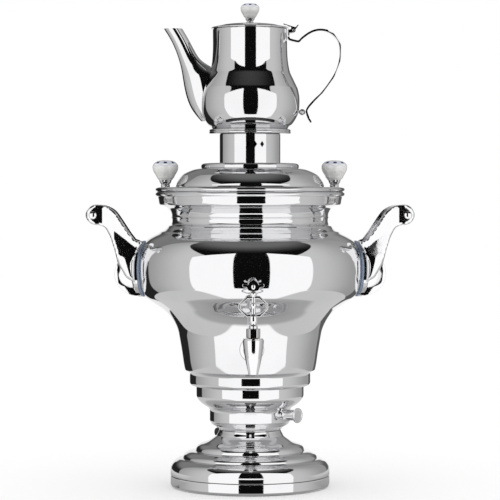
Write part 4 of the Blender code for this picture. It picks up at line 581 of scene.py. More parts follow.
def vesselOutline():
    size = vesselSizes
    foot, top = ends("water_vessel")
    tier, mouth, bead = size["tier"], size["mouth"], size["bead"]
    return curve(
        (0.0, foot + 0.1), (tier - 3.8, foot + 0.1, 0), (tier, foot + 4.0, 90), (tier, size["tierTop"], 90),
        (tier + 1.4, size["tierTop"] + 2.6, 62), (*size["cone"], 74), (72.9, 139.3, 82.5),
        (*size["coneTop"], 80),
        (82.4, 178.6, 60), (97.6, 194.6, 33), (112.4, 204.6, 42), (119.4, 214.9, 68), (*size["belly"], 90),
        (119.8, 254.0, 112), (109.0, 268.3, 147), (101.5, 272.4, 155),
        (97.6, 274.6, 118), (96.2, 275.6, 158), (91.2, 278.2, 138), (88.4, 281.4, 116), (86.6, 282.4, 150),
        (84.3, 286.8, 96), (85.4, 291.0, 55), (84.9, 291.6, 90), (84.6, 293.4, 78), (88.6, 300.4, 48),
        (95.2, 303.7, 20), (97.9, 304.5, 60), (size["neck"], 306.0, 88), (mouth - 0.6, top - 4.9, 86),
        (mouth + 0.2, top - 2 * bead - 0.2, 0), (mouth + bead, top - bead, 90), (mouth, top, 180),
        (mouth - 1.4, top - 0.2), spacing=1.1, fillet=0.3,
    )


def makeVessel():
    shell = asObject("vessel", spun(walled(vesselOutline(), vesselSizes["wall"]), 160))
    hole = rod(vesselSizes["tapHole"], 60.0, facing((0, -1, 0), 0.0, -80.0, tapSizes["height"]), 48)
    finished(carved(shell, hole), "polished_steel", "samovar", "water_vessel")


# Tap: valve body on its pipe, flange, gland nut and openwork key
tapSizes = {
    "height": middle("tap_escutcheon").z,
    "reach": 138.0,
    "pipe": 6.5,
    "pipeBore": 4.0,
    "coneTop": 10.9,
    "coneTip": 5.0,
    "tipBore": 3.4,
    "plugBore": 7.1,
    "hex": 7.3,
    "nutBore": 4.9,
    "stem": 4.6,
    "ringEnds": (190.5, 212.0),
    "ringHalf": 15.3,
    "ringBar": 2.6,
    "ringDepth": 4.0,
    "crownRise": 5.0,  # above the ring
    "crownHalf": 11.2,
    "crownDepth": 4.0,
}


def makeTap():
    size = tapSizes
    height, reach = size["height"], size["reach"]
    top, tip = low("tap_gland_nut").z - 0.3, low("tap_body").z
    cone = curve(
        (size["plugBore"], top), (size["coneTop"] - 1.6, top, 0), (size["coneTop"] - 0.7, top - 0.7, -90),
        (size["coneTop"] - 0.6, top - 1.6, -90, 0), (size["coneTop"], top - 2.6, -90),
        (size["coneTop"] - 0.5, top - 8.0, -96), (size["coneTip"] + 0.6, tip + 3.4, -104),
        (size["coneTip"], tip + 0.4, -95), (size["coneTip"] - 0.5, tip, 180), (size["tipBore"], tip),
        (size["tipBore"], height - 7.4), (size["plugBore"], height - 7.4),
        spacing=0.7, fillet=0.25,
    )
    body = asObject("tapBody", moved(spun(cone, 96), at(0.0, -reach, 0.0)))
    start = -high("tap_body").y
    length = reach - size["plugBore"] - start
    pipe = rod(size["pipe"], length, facing((0, -1, 0), 0.0, -start - length / 2, height), 48)
    carved(body, pipe, operation="UNION")
    bore = rod(size["pipeBore"], reach, facing((0, -1, 0), 0.0, -reach / 2 + 2.0, height))
    finished(carved(body, bore), "chrome", "samovar", "tap_body")

    back, face = -high("tap_escutcheon").y, -low("tap_escutcheon").y
    rosette = curve(
        (6.8, back), (13.0, back), (13.0, back + 0.8, 90), (12.2, back + 1.9, 150), (8.5, face - 0.6, 120),
        (7.9, face, 180), (6.8, face), spacing=0.5, fillet=0.25,
    )
    flange = moved(spun(rosette, 72), facing((0, -1, 0), 0.0, 0.0, height))
    made("tapFlange", flange, "chrome", "samovar", "tap_escutcheon")

    foot, above = ends("tap_gland_nut")
    stand = at(0.0, -reach, (above + foot) / 2)
    nut = rod(size["hex"], above - foot, stand @ Matrix.Rotation(math.radians(30), 4, "Z"), 6)
    bmesh.ops.bevel(
        nut, geom=nut.edges[:], offset=0.5 * mm, offset_type="OFFSET", segments=2, profile=0.5,
        affect="EDGES", material=-1,
    )
    hole = rod(size["nutBore"], above - foot + 4.0, stand)
    finished(carved(asObject("glandNut", nut), hole), "chrome", "samovar", "tap_gland_nut")
    makeKey()


def plate(outline, depth, edge, hole=None, segments=2):
    shape = bmesh.new()
    rings = []
    for points in filter(None, (outline, hole)):
        corners = [shape.verts.new((x * mm, 0.0, z * mm)) for x, z in points]
        rings.append([shape.edges.new((a, b)) for a, b in zip(corners, corners[1:] + corners[:1])])
    if hole:
        bmesh.ops.bridge_loops(shape, edges=rings[0] + rings[1])
    else:
        bmesh.ops.contextual_create(shape, geom=rings[0])
    flat = bmesh.ops.extrude_face_region(shape, geom=shape.faces[:])["geom"]
    moving = [item for item in flat if isinstance(item, bmesh.types.BMVert)]
    bmesh.ops.translate(shape, verts=moving, vec=(0.0, depth * mm, 0.0))
    bmesh.ops.translate(shape, verts=shape.verts, vec=(0.0, -depth / 2 * mm, 0.0))
    bmesh.ops.recalc_face_normals(shape, faces=shape.faces)
    if edge:
        rims = [e for e in shape.edges if len(e.link_faces) == 2 and e.calc_face_angle() > 0.6]
        bmesh.ops.bevel(
            shape, geom=rims, offset=edge * mm, offset_type="OFFSET", segments=segments, profile=0.5,
            affect="EDGES", material=-1, clamp_overlap=True,
        )
    return shape


def smoothLoop(points, per=6):
    count = len(points)
    line = []
    for index in range(count):
        p0, p1, p2, p3 = (Vector(points[(index + k) % count]) for k in (-1, 0, 1, 2))
        for step in range(per):
            t = step / per
            line.append(
                0.5 * (2 * p1 + (p2 - p0) * t + (2 * p0 - 5 * p1 + 4 * p2 - p3) * t**2
                       + (3 * p1 - p0 - 3 * p2 + p3) * t**3)
            )
    return [(point.x, point.y) for point in line]


keyShares = {
    "crown": (
        (0.26, 0.00), (0.52, 0.12), (0.62, 0.30), (0.92, 0.34), (1.00, 0.50), (0.90, 0.62), (0.70, 0.60),
        (0.52, 0.54), (0.44, 0.70), (0.30, 0.84), (0.14, 0.93),
    ),
    "ringFlat": 0.45,
    "ringSide": 0.24,
}


def octagon(half, tall, flat, side, centre):
    right = [(flat, tall), (half, side), (half, -side), (flat, -tall)]
    return [(x, centre + z) for x, z in right] + [(-x, centre + z) for x, z in reversed(right)]


def makeKey():
    size = tapSizes
    ringFoot, ringTop = size["ringEnds"]
    stemFoot, top = ends("tap_key")
    crownFoot = ringTop + size["crownRise"]
    stem = curve(
        (0.0, stemFoot), (size["stem"] - 0.3, stemFoot), (size["stem"] - 0.3, ringFoot - 11.5, 90),
        (size["stem"], ringFoot - 9.6, 90), (3.3, ringFoot - 6.8, 90), (size["stem"], ringFoot - 3.6, 90),
        (4.3, ringFoot + 0.4, 100), (2.6, ringFoot + 3.8, 100), (2.3, ringFoot + 8.6, 90),
        (3.5, ringFoot + 12.0, 90), (2.2, ringFoot + 16.0, 95), (2.4, ringTop - 0.6, 80),
        (3.9, ringTop + 2.4, 90), (2.4, crownFoot, 110), (0.0, crownFoot + 0.8),
        spacing=0.5, fillet=0.2,
    )
    key = spun(stem, 48)
    centre, half = (ringFoot + ringTop) / 2, (ringTop - ringFoot) / 2
    wide, bar = size["ringHalf"], size["ringBar"]
    flat, side = wide * keyShares["ringFlat"], half * keyShares["ringSide"]
    outer = octagon(wide, half, flat, side, centre)
    inner = octagon(wide - bar, half - bar, flat - bar / 2, side - bar / 4, centre)
    ring = plate(outer, size["ringDepth"], 0.9, inner, 3)
    tall = top - crownFoot
    right = [(size["crownHalf"] * x, crownFoot + tall * z) for x, z in keyShares["crown"]]
    outline = right + [(0.0, top)] + [(-x, z) for x, z in reversed(right)]
    crown = plate(smoothLoop(outline, 4), size["crownDepth"], 1.1, segments=3)
    boss = bmesh.new()
    bmesh.ops.create_uvsphere(boss, u_segments=24, v_segments=12, radius=3.0 * mm)
    bmesh.ops.scale(boss, vec=(1.0, 0.95, 1.25), verts=boss.verts)
    moved(boss, at(0.0, 0.0, crownFoot + tall * 0.36))
    shape = moved(joined(key, ring, crown, boss), at(0.0, -size["reach"], 0.0))
    made("tapKey", shape, "chrome", "tap_key", "tap_key")


# Side handles: gasket, casting with two arms and a web, grip with its caps
handleSizes = {
    "reach": 53.0,
    "height": 100.0,
    "foot": 205.6,
    "halfWidth": 31.0,
    "arm": 7.0,
    "tip": 10.9,
    "webHalf": 20.0,
    "gasket": 2.6,
    "gasketHalf": 29.5,
    "flange": 4.0,
    "flangeHeight": 60.0,
    "oval": (31.5, 33.0, 235.6),  # half width and half height of the flange's oval, and its middle
    "clear": 0.3,
    "armRoot": 1.5,
    "bend": (147.0, 157.0, 0.165),  # between these the arm's face leans forward, with this slope
    "tipTurn": 0.045,  # the tip leans the other way
    "flat": (125.0, 262.0, 1.22),  # below a line through this point with this rise the face is upright again
    "crown": 2.4,
    "crownReach": 9.0,
    "crownTop": 251.0,
    "rounding": 1.9,
    "cell": 1.5,
}
handleShares = {
    "tip": (0.785, 0.881),
    "grip": (0.864, 0.877),
    "lower": (
        (0.100, 0.181), (0.187, 0.210), (0.246, 0.256), (0.300, 0.306), (0.355, 0.357), (0.394, 0.438),
        (0.432, 0.520), (0.462, 0.568), (0.502, 0.634), (0.547, 0.683), (0.609, 0.740), (0.670, 0.759),
    ),
    "upper": (
        (0.700, 0.987), (0.600, 0.975), (0.520, 0.955), (0.425, 0.919), (0.332, 0.854), (0.225, 0.768),
        (0.116, 0.680), (0.022, 0.615),
    ),
    "root": (0.155, 0.585),
    "webOuter": (
        (0.000, 0.012), (0.148, 0.030), (0.294, 0.078), (0.396, 0.150), (0.437, 0.244), (0.400, 0.350),
        (0.343, 0.360),
    ),
    "webInner": ((0.323, 0.290), (0.348, 0.230), (0.304, 0.165), (0.224, 0.128), (0.138, 0.106)),
    "webRoot": (0.020, 0.095),
}


def handlePoint(across, up):
    size = handleSizes
    return (vesselSizes["belly"][0] + size["reach"] * across, size["foot"] + size["height"] * up)


def radiusAt(outline, height):
    return max(
        a.x + (b.x - a.x) * (height - a.z) / (b.z - a.z)
        for a, b in zip(outline, outline[1:])
        if min(a.z, b.z) <= height <= max(a.z, b.z) and abs(a.z - b.z) > 1e-6
    )


def hugging(outline, bottom, top, offset, steps):
    heights = [bottom + (top - bottom) * step / steps for step in range(steps + 1)]
    return [(radiusAt(outline, height) + offset, height) for height in heights]


def distanceTo(x, z, loop):
    best = 1e9
    for (ax, az), (bx, bz) in zip(loop, loop[1:] + loop[:1]):
        dx, dz = bx - ax, bz - az
        share = max(0.0, min(1.0, ((x - ax) * dx + (z - az) * dz) / (dx * dx + dz * dz)))
        best = min(best, math.hypot(x - ax - dx * share, z - az - dz * share))
    return best


def gridded(shape, lows, highs, cell):
    for axis in (0, 2):
        normal = Vector((0.0, 0.0, 0.0))
        normal[axis] = 1.0
        place = lows[axis] + cell
        while place < highs[axis]:
            bmesh.ops.bisect_plane(
                shape, geom=shape.verts[:] + shape.edges[:] + shape.faces[:], dist=1e-7,
                plane_co=normal * place * mm, plane_no=normal,
            )
            place += cell


def eased(share):
    share = max(0.0, min(1.0, share))
    return share * share * (3 - 2 * share)


def makeArm(outline):
    size = handleSizes
    shape = bmesh.new()
    corners = [shape.verts.new((x * mm, 0.0, z * mm)) for x, z in outline]
    bmesh.ops.contextual_create(
        shape, geom=[shape.edges.new((a, b)) for a, b in zip(corners, corners[1:] + corners[:1])]
    )
    xs, zs = [x for x, _ in outline], [z for _, z in outline]
    gridded(shape, (min(xs), 0.0, min(zs)), (max(xs), 0.0, max(zs)), size["cell"])
    front = {vert: distanceTo(vert.co.x / mm, vert.co.z / mm, outline) for vert in shape.verts}
    bendStart, bendEnd, slope = size["bend"]
    flatX, flatZ, flatRise = size["flat"]
    grown = bmesh.ops.extrude_face_region(shape, geom=shape.faces[:])["geom"]
    back = [item for item in grown if isinstance(item, bmesh.types.BMVert)]
    bmesh.ops.translate(shape, verts=back, vec=(0.0, size["arm"] * mm, 0.0))
    for vert, depth in front.items():
        edge = max(0.0, 1 - depth / size["rounding"])
        crown = max(0.0, 1 - depth / size["crownReach"]) ** 2 * size["crown"]
        crown *= eased((size["crownTop"] - vert.co.z / mm) / 8)
        x, z = vert.co.x / mm, vert.co.z / mm
        leaning = bendEnd - max(bendStart, min(bendEnd, x))
        leaning += max(0.0, min(bendStart, flatX + (z - flatZ) * flatRise) - x)
        bent = leaning * slope + max(0.0, x - bendEnd) * size["tipTurn"]
        vert.co.y = (crown - bent + size["rounding"] * (1 - math.sqrt(1 - edge**2))) * mm
    bmesh.ops.translate(shape, verts=shape.verts, vec=(0.0, -size["halfWidth"] * mm, 0.0))
    bmesh.ops.recalc_face_normals(shape, faces=shape.faces)
    return shape


def tipArc(centre, radius, start, end, steps):
    angles = [math.radians(start + (end - start) * step / steps) for step in range(steps + 1)]
    return [(centre[0] + radius * math.cos(a), centre[1] + radius * math.sin(a)) for a in angles]


def smoothRun(points, per=4):
    first, last = points[0], points[-1]
    loop = smoothLoop([first] + list(points) + [last], per)
    return loop[per:per * len(points)] + [last]


def flipped(shape, sign):
    moved(shape, Matrix.Scale(sign, 4, (1, 0, 0)))
    bmesh.ops.recalc_face_normals(shape, faces=shape.faces)
    return shape


def oval(side, clear, thickness, steps=36):
    # a plate that follows the belly round and up, cut to an oval seen from the side
    size = handleSizes
    halfWidth, halfHeight, centre = size["oval"]
    half = min(size["flangeHeight"] / 2, halfHeight) - 0.2
    shape = bmesh.new()
    bmesh.ops.create_grid(shape, x_segments=steps, y_segments=steps, size=1.0)
    bmesh.ops.solidify(shape, geom=shape.faces[:], thickness=-1.0)
    for vert in shape.verts:
        depth = clear + (thickness if vert.co.z > 0.5 else 0.0)
        # the square grid is drawn in to a round one before it is stretched to the oval
        u, v = vert.co.x, vert.co.y
        y = halfWidth * u * math.sqrt(1 - v * v / 2)
        z = centre + halfHeight * v * math.sqrt(1 - u * u / 2)
        y = max(-size["gasketHalf"], min(size["gasketHalf"], y))
        z = max(centre - half, min(centre + half, z))
        radius = radiusAt(side, z) + depth
        vert.co = (math.sqrt(radius * radius - y * y) * mm, y * mm, z * mm)
    bmesh.ops.recalc_face_normals(shape, faces=shape.faces)
    return shape


def makeHandles():
    size, share = handleSizes, handleShares
    side = vesselOutline()
    root = [handlePoint(0.0, s)[1] for s in share["root"]]
    webRoot = [handlePoint(0.0, s)[1] for s in share["webRoot"]]
    tip = handlePoint(*share["tip"])
    lower = smoothRun([handlePoint(*s) for s in share["lower"]])
    upper = smoothRun([handlePoint(*s) for s in share["upper"]])
    arm = lower + tipArc(tip, size["tip"], -100, 100, 28) + upper
    arm += hugging(side, *root, size["armRoot"], 10)[::-1]
    web = smoothRun([handlePoint(*s) for s in share["webOuter"] + share["webInner"]])
    web += hugging(side, *webRoot, size["armRoot"], 4)[::-1]

    for sign, name in ((-1, "left"), (1, "right")):
        front = makeArm(arm)
        rear = moved(makeArm(arm), Matrix.Scale(-1, 4, (0, 1, 0)))
        bridge = plate(web, 2 * size["webHalf"], 2.6, segments=5)
        flange = oval(side, size["gasket"] + size["clear"], size["flange"])
        casting = flipped(joined(front, rear, bridge, flange), sign)
        made(f"handle_{name}", casting, "chrome", "samovar", f"handle_casting_{name}", sharp=38)
        gasket = flipped(oval(side, 0.25, size["gasket"] - 0.25), sign)
        made(f"gasket_{name}", gasket, "silicone", "samovar", f"handle_gasket_{name}")
        makeGrip(sign, name, handlePoint(*share["grip"]))


def makeGrip(sign, name, centre):
    size = handleSizes
    half = size["halfWidth"] - size["arm"] - size["clear"]
    place = facing((0, -1, 0), sign * centre[0], 0.0, centre[1])
    grip = curve(
        (2.3, half), (6.2, half, 0), (7.2, half - 1.0, -90), (8.5, half * 0.62, -90), (8.5, 0.0, -90),
        (8.5, -half * 0.62, -90), (7.2, 1.0 - half, -90), (6.2, -half, 180), (2.3, -half),
        spacing=1.2, fillet=0.2,
    )
    made(f"grip_{name}", moved(spun(grip, 64), place), "porcelain", "samovar", f"grip_{name}")
    face = size["halfWidth"] + size["clear"]
    cap = curve(
        (0.0, face + 2.2, 0), (2.4, face + 1.8, -25), (4.2, face + 0.7, -80), (4.3, face, -90), (2.0, face),
        spacing=0.4, fillet=0.15,
    )
    stud = cap + [Vector((radius, 0.0, -face - 0.8)) for radius in (2.0, 0.0)]
    made(f"gripBolt_{name}", moved(spun(stud, 48), place), "chrome", "samovar", f"grip_bolt_{name}")
    nut = cap[:-1] + [Vector((x, 0.0, face + z)) for x, z in ((2.3, 0.0), (2.3, 1.1), (0.0, 1.1))]
    back = facing((0, 1, 0), sign * centre[0], 0.0, centre[1])
    made(f"gripNut_{name}", moved(spun(nut, 48), back), "chrome", "samovar", f"grip_cap_nut_{name}")


# Lid with its collar and pot seat
lidSizes = {
    "wall": 0.8,
    "hole": 30.0,
    "top": 54.0,
    "dome": 80.2,
    "flangeTop": 323.1,
    "bead": 2.3,
    "rim": 100.3,
    "collar": 32.9,
    "base": 53.0,
    "seat": 44.3,
    "seatRecess": 41.1,
    "seatHole": 25.0,
    "vent": (2.3, 3.4),
    "ventBelowTop": 11.2,
    "ventDirections": (-82.0, 38.0, 158.0),
    "ventSpacing": 13.7,
    "knobHole": 1.7,
}


def makeLid():
    size = lidSizes
    top, flange = high("lid").z, size["flangeTop"]
    rim, bead = size["rim"], size["bead"]
    dome = curve(
        (rim, flange - 2 * bead - 0.05, 0), (rim + bead, flange - bead, 90), (rim, flange, 180),
        (size["dome"] + 1.4, flange, 180), (size["dome"], flange + 1.6, 92), (74.4, 335.6, 128),
        (64.0, 341.6, 158), (size["top"], top, 174), (size["hole"], top, 180),
        spacing=1.1, fillet=0.3,
    )
    lid = asObject("lid", spun(walled(dome, size["wall"]), 160))
    offset = middle("lid_knob_left").x
    holes = [rod(size["knobHole"], 8.0, at(side * offset, 0.0, flange), 24) for side in (-1, 1)]
    finished(carved(lid, *holes), "polished_steel", "lid", "lid")

    foot, above = ends("collar_base")
    base = curve(
        (size["base"], foot, 90), (size["base"], above - 2.8, 90), (size["base"] - 2.6, above - 0.4, 172),
        (40.0, above - 0.2, 176), (38.6, above, 180), (size["collar"] + 0.3, above, 180),
        spacing=0.7, fillet=0.3,
    )
    made("collarBase", spun(walled(base, size["wall"])), "polished_steel", "lid", "collar_base")

    foot, above = ends("collar_tube")
    radius = size["collar"]
    inside = radius - size["wall"]
    tube = curve((radius, foot), (radius, above), (inside, above), (inside, foot))
    collar = asObject("collar", spun(tube, 128))
    cutters = []
    for direction in size["ventDirections"]:
        for index in (-1, 0, 1):
            turn = math.radians(direction + index * size["ventSpacing"])
            turned = at(0, 0, above - size["ventBelowTop"]) @ Matrix.Rotation(turn, 4, "Z") @ at(radius, 0, 0)
            cutters.append(slit(4, 10.0, *size["vent"], turned))
    finished(carved(collar, *cutters), "polished_steel", "lid", "collar_tube")

    foot, above, lip = low("pot_seat").z + 3.0, high("pot_seat").z, inside - 0.3
    seat = curve(
        (size["seatHole"], above - 1.4), (size["seatRecess"], above - 1.4),
        (size["seatRecess"] + 0.7, above, 0), (size["seat"] - 1.6, above, 0),
        (size["seat"], above - 1.9, -90), (size["seat"] - 0.5, above - 2.5, -90),
        (size["seat"], above - 3.1, -90),
        (size["seat"] - 1.2, foot, 180), (lip, foot), (lip, foot - 3.0),
        (lip - 1.2, foot - 3.0), (lip - 1.2, foot), (size["seatHole"], foot),
        spacing=0.6, fillet=0.3,
    )
    made("potSeat", spun(seat, 128), "polished_steel", "lid", "pot_seat")


# Porcelain knobs in their pronged sockets
knobShapes = {
    "lidKnob": (13.9, 6.9, (1.4, 3.4)),  # radius, socket's radius, and its stud's radius and length
    "potKnob": (10.2, 5.2, (1.2, 2.2)),
    "stem": 0.75,
    "stemTip": 0.425,
    "floor": 0.30,
    "foot": 0.67,
    "prongs": 8,
    "slotHalf": 0.17,
    "slotRise": 0.42,
}


def makePorcelainKnob(name, body, node, socketNode, radius, socketRadius, stud):
    shape = knobShapes
    bottom, top = low(socketNode).z, high(node).z
    rim = high(socketNode).z
    centre = middle(node)
    foot = bottom + stud[1]
    floor = foot + (rim - foot) * shape["floor"]
    tall = top - rim - 0.3
    stem, stemTip = socketRadius * shape["stem"], socketRadius * shape["stemTip"]
    z = rim + 0.3
    cupTall = rim - foot
    outline = curve(
        (0.0, top, 0), (radius * 0.50, top - tall * 0.030, -12), (radius * 0.86, top - tall * 0.150, -42),
        (radius, top - tall * 0.330, -90), (radius * 0.94, z + tall * 0.440, -112),
        (radius * 0.68, z + tall * 0.120, -112), (radius * 0.55, z, -112), (stem, z), (stemTip, floor + 0.3),
        (0.0, floor + 0.3), spacing=0.6, fillet=0.2,
    )
    knob = asObject(name, moved(spun(outline, 72), at(centre.x, centre.y, 0.0)))
    places = knob.data.attributes.new("knobPlace", "FLOAT_VECTOR", "POINT")
    for vert, place in zip(knob.data.vertices, places.data):
        across, deep, height = vert.co / mm
        place.vector = ((across - centre.x) / radius, (deep - centre.y) / radius, (height - z) / tall)
    finished(knob, "porcelain", body, node, finish="painted_porcelain")

    cup = curve(
        (0.0, bottom), (stud[0], bottom), (stud[0], foot), (socketRadius * shape["foot"], foot, 0),
        (socketRadius * 0.72, foot + cupTall * 0.2, 90), (socketRadius * 0.66, foot + cupTall * 0.34, 80),
        (socketRadius * 0.86, foot + cupTall * 0.62, 66), (socketRadius, rim, 70),
        (stem + 0.35, rim - 0.2), (stemTip + 0.3, floor), (0.0, floor),
        spacing=0.5, fillet=0.15,
    )
    socket = asObject(f"{name}Socket", moved(spun(cup, 96), at(centre.x, centre.y, 0.0)))
    slots = []
    slotHalf, slotRise = socketRadius * shape["slotHalf"], cupTall * shape["slotRise"]
    for index in range(shape["prongs"]):
        turn = Matrix.Rotation(math.tau * (index + 0.5) / shape["prongs"], 4, "Z")
        place = at(centre.x, centre.y, rim) @ turn @ at(socketRadius * 1.3, 0, 0)
        slots.append(slit(12, 2 * socketRadius, slotHalf, slotRise, place))
    finished(carved(socket, *slots), "chrome", body, socketNode)


# Teapot
potSizes = {
    "wall": 0.8,
    "belly": 53.7,
    "neck": 40.3,
    "base": 40.5,
    "spoutReach": 93.0,
    "spoutWall": 0.9,
    "strapReach": 99.0,
    "strapThickness": 2.2,
    "strapWidth": 13.0,
    "lidLip": 5.4,
}
potShares = {
    "spout": (
        (1.030, 1.060, 0.815, 1.035, 0.088), (0.927, 0.929, 0.720, 0.901, 0.080),
        (0.857, 0.810, 0.657, 0.795, 0.081), (0.811, 0.691, 0.595, 0.701, 0.092),
        (0.785, 0.602, 0.513, 0.650, 0.112), (0.770, 0.512, 0.420, 0.610, 0.140),
        (0.752, 0.413, 0.335, 0.535, 0.165), (0.718, 0.294, 0.290, 0.395, 0.170),
        (0.660, 0.190, 0.265, 0.255, 0.150), (0.560, 0.095, 0.290, 0.125, 0.105),
    ),
    "spoutMouth": 1.005,
    "strap": (
        (0.421, 0.927), (0.421, 0.914), (0.432, 0.899), (0.497, 0.883), (0.532, 0.882), (0.573, 0.918),
        (0.640, 0.962), (0.700, 0.986), (0.765, 0.995), (0.842, 0.984), (0.916, 0.945), (0.972, 0.879),
        (0.988, 0.785), (0.978, 0.692), (0.942, 0.585), (0.873, 0.478), (0.786, 0.373), (0.711, 0.307),
        (0.654, 0.252), (0.624, 0.213), (0.617, 0.179), (0.639, 0.119), (0.668, 0.079),
    ),
}


def potOutline():
    foot, top = ends("teapot_body")
    size = potSizes
    tall = top - foot
    return curve(
        (0.0, foot, 0), (size["base"] - 1.2, foot, 0), (size["base"], foot + 0.9, 75),
        (45.8, foot + tall * 0.060, 52), (53.0, foot + tall * 0.195, 78),
        (size["belly"], foot + tall * 0.300, 90), (51.6, foot + tall * 0.418, 106),
        (43.9, foot + tall * 0.565, 116), (41.4, foot + tall * 0.665, 99),
        (size["neck"], foot + tall * 0.800, 92), (size["neck"], top - 1.0, 90),
        (size["neck"] - 0.4, top, 180),
        spacing=1.0, fillet=0.3,
    )


def makePot():
    outline = potOutline()
    made("teapot", spun(walled(outline, potSizes["wall"]), 144), "polished_steel", "teapot", "teapot_body")
    makeSpout(outline)
    makeStrap()


def makeSpout(outline):
    size = potSizes
    foot, top = ends("teapot_body")
    tall = top - foot
    reach = size["spoutReach"]
    shape = bmesh.new()
    rings = []
    for outerX, outerZ, innerX, innerZ, half in potShares["spout"]:
        outer = Vector((-reach * outerX, 0.0, foot + tall * outerZ))
        inner = Vector((-reach * innerX, 0.0, foot + tall * innerZ))
        ring = bmesh.ops.create_circle(shape, cap_ends=False, segments=28, radius=1.0)["verts"]
        long = (outer - inner) / 2
        place = Matrix((
            (long.x, 0.0, 0.0, (outer.x + inner.x) / 2), (0.0, reach * half, 0.0, 0.0),
            (long.z, 0.0, 1.0, (outer.z + inner.z) / 2), (0.0, 0.0, 0.0, 1.0),
        ))
        bmesh.ops.transform(shape, matrix=Matrix.Scale(mm, 4) @ place, verts=ring)
        rings.append({edge for vert in ring for edge in vert.link_edges})
    for upper, lower in zip(rings, rings[1:]):
        bmesh.ops.bridge_loops(shape, edges=list(upper | lower))
    bmesh.ops.recalc_face_normals(shape, faces=shape.faces)
    spout = asObject("spout", shape)
    smooth = spout.modifiers.new("Smooth", "SUBSURF")
    smooth.levels = smooth.render_levels = 2
    settled(spout)
    wall = spout.modifiers.new("Wall", "SOLIDIFY")
    wall.thickness = size["spoutWall"] * mm
    wall.offset = -1
    core = [Vector((p.x + 0.2, 0.0, p.z)) for p in outline]
    core = [Vector((0.0, 0.0, core[0].z))] + core[1:] + [Vector((0.0, 0.0, core[-1].z))]
    mouth = bmesh.new()
    bmesh.ops.create_cube(mouth, size=tall * mm)
    moved(mouth, at(-reach, 0.0, foot + tall * (potShares["spoutMouth"] + 0.5)))
    finished(carved(spout, spun(core, 144), mouth), "polished_steel", "teapot", "teapot_spout")


def makeStrap():
    size = potSizes
    foot, top = ends("teapot_body")
    tall = top - foot
    points = [(size["strapReach"] * x, foot + tall * z) for x, z in potShares["strap"]]
    plateX = size["neck"] + 0.3 + size["strapThickness"] / 2
    points[0], points[1] = (plateX, points[0][1]), (plateX, points[1][1])
    line = [Vector((x, z)) for x, z in smoothRun(points, 5)]
    half = size["strapThickness"] / 2
    sides = []
    for before, point, after in zip([line[0]] + line, line, line[1:] + [line[-1]]):
        along = (after - before).normalized()
        sides.append((point, Vector((-along.y, along.x)) * half))
    outline = [tuple(point + out) for point, out in sides]
    outline += [tuple(point - out) for point, out in reversed(sides)]
    strap = plate(outline, size["strapWidth"], 0.5, segments=3)
    made("strapHandle", strap, "polished_steel", "teapot", "teapot_handle")

    start, end = low("handle_ball").x, high("handle_ball").x
    ball = curve(
        (0.0, end, 0), (3.5, end - 3.5, -90), (1.9, start + 0.9, -140), (1.9, start), (0.0, start),
        spacing=0.4, fillet=0.1,
    )
    made(
        "strapBall", moved(spun(ball, 40), facing((1, 0, 0), 0.0, 0.0, middle("handle_ball").z)),
        "chrome", "teapot", "handle_ball",
    )


def makePotLid():
    size = potSizes
    foot, top = ends("teapot_lid")
    brim, lip = high("teapot_lid").x, size["neck"] - size["wall"] - 0.8
    base = foot + size["lidLip"]
    outline = curve(
        (1.5, top), (8.0, top, 0), (22.0, top - 0.9, -7), (34.0, base + 3.4, -16),
        (brim - 1.2, base + 1.7, -16), (brim, base + 0.8, -90), (brim - 0.5, base, 180), (lip, base),
        (lip, foot), (lip - 1.0, foot), (lip - 1.0, base + 0.4), (22.0, top - 2.0), (1.5, top - 1.0),
        spacing=0.8, fillet=0.25,
    )
    made("potLid", spun(outline, 128), "polished_steel", "teapot_lid", "teapot_lid")


# Stage: softboxes, walls and ceiling are only seen in reflections, over a pale floor
# angles are degrees round from the front or up from level, and shades are 1 for white
studio = {
    "frontEnd": 50.0,
    "frontHigh": (44.0, 74.0),
    "overhead": (28.0, 64.0),
    "overheadSpread": 66.0,
    "gap": 0.004,
    "softbox": 1.18,
    "softboxInner": 0.185,
    "softboxOuter": 1.15,
    "softboxTop": 0.772,
    "softboxFoot": -0.9,
    "softboxDistance": 0.62,
    "wall": 0.66,
    "wallFall": 0.45,
    "wallDims": (66.0, 140.0),
    "wallEnd": 126.0,
    "wallEndRight": 146.0,
    "wallHigh": (58.5, 61.5),
    "ceiling": 0.16,
    "floorRise": (-34.0, -30.0),
    "behindLeft": 0.02,
    "behindRight": 0.12,
    "behindHigh": 0.20,
    "behindRise": (10.0, 26.0),
    "backlight": 0.9,
    "backSide": (164.0, 166.0),
    "backRise": (9.0, 15.0),
    "plainLight": 0.92,
    "floor": 0.86,
    "floorGlow": 0.24,
    "tableReach": 0.44,
    # painted shadow on the table near the foot, seen only in reflections: its shade and how much it lightens
    # outwards
    "paintedShadowLevel": 0.28,
    "paintedShadowRise": 0.16,
    "tableShade": (0.150, 0.188),
    "tableSpread": 105.0,
    "tableSide": (9.0, 15.0),
    "grazing": (0.72, 0.80),
    "grazingTurn": (70.0, 90.0),
    "cardHalf": 0.17,
    "cardEnds": (0.002, 0.052),
    "cardDistance": 0.40,
}


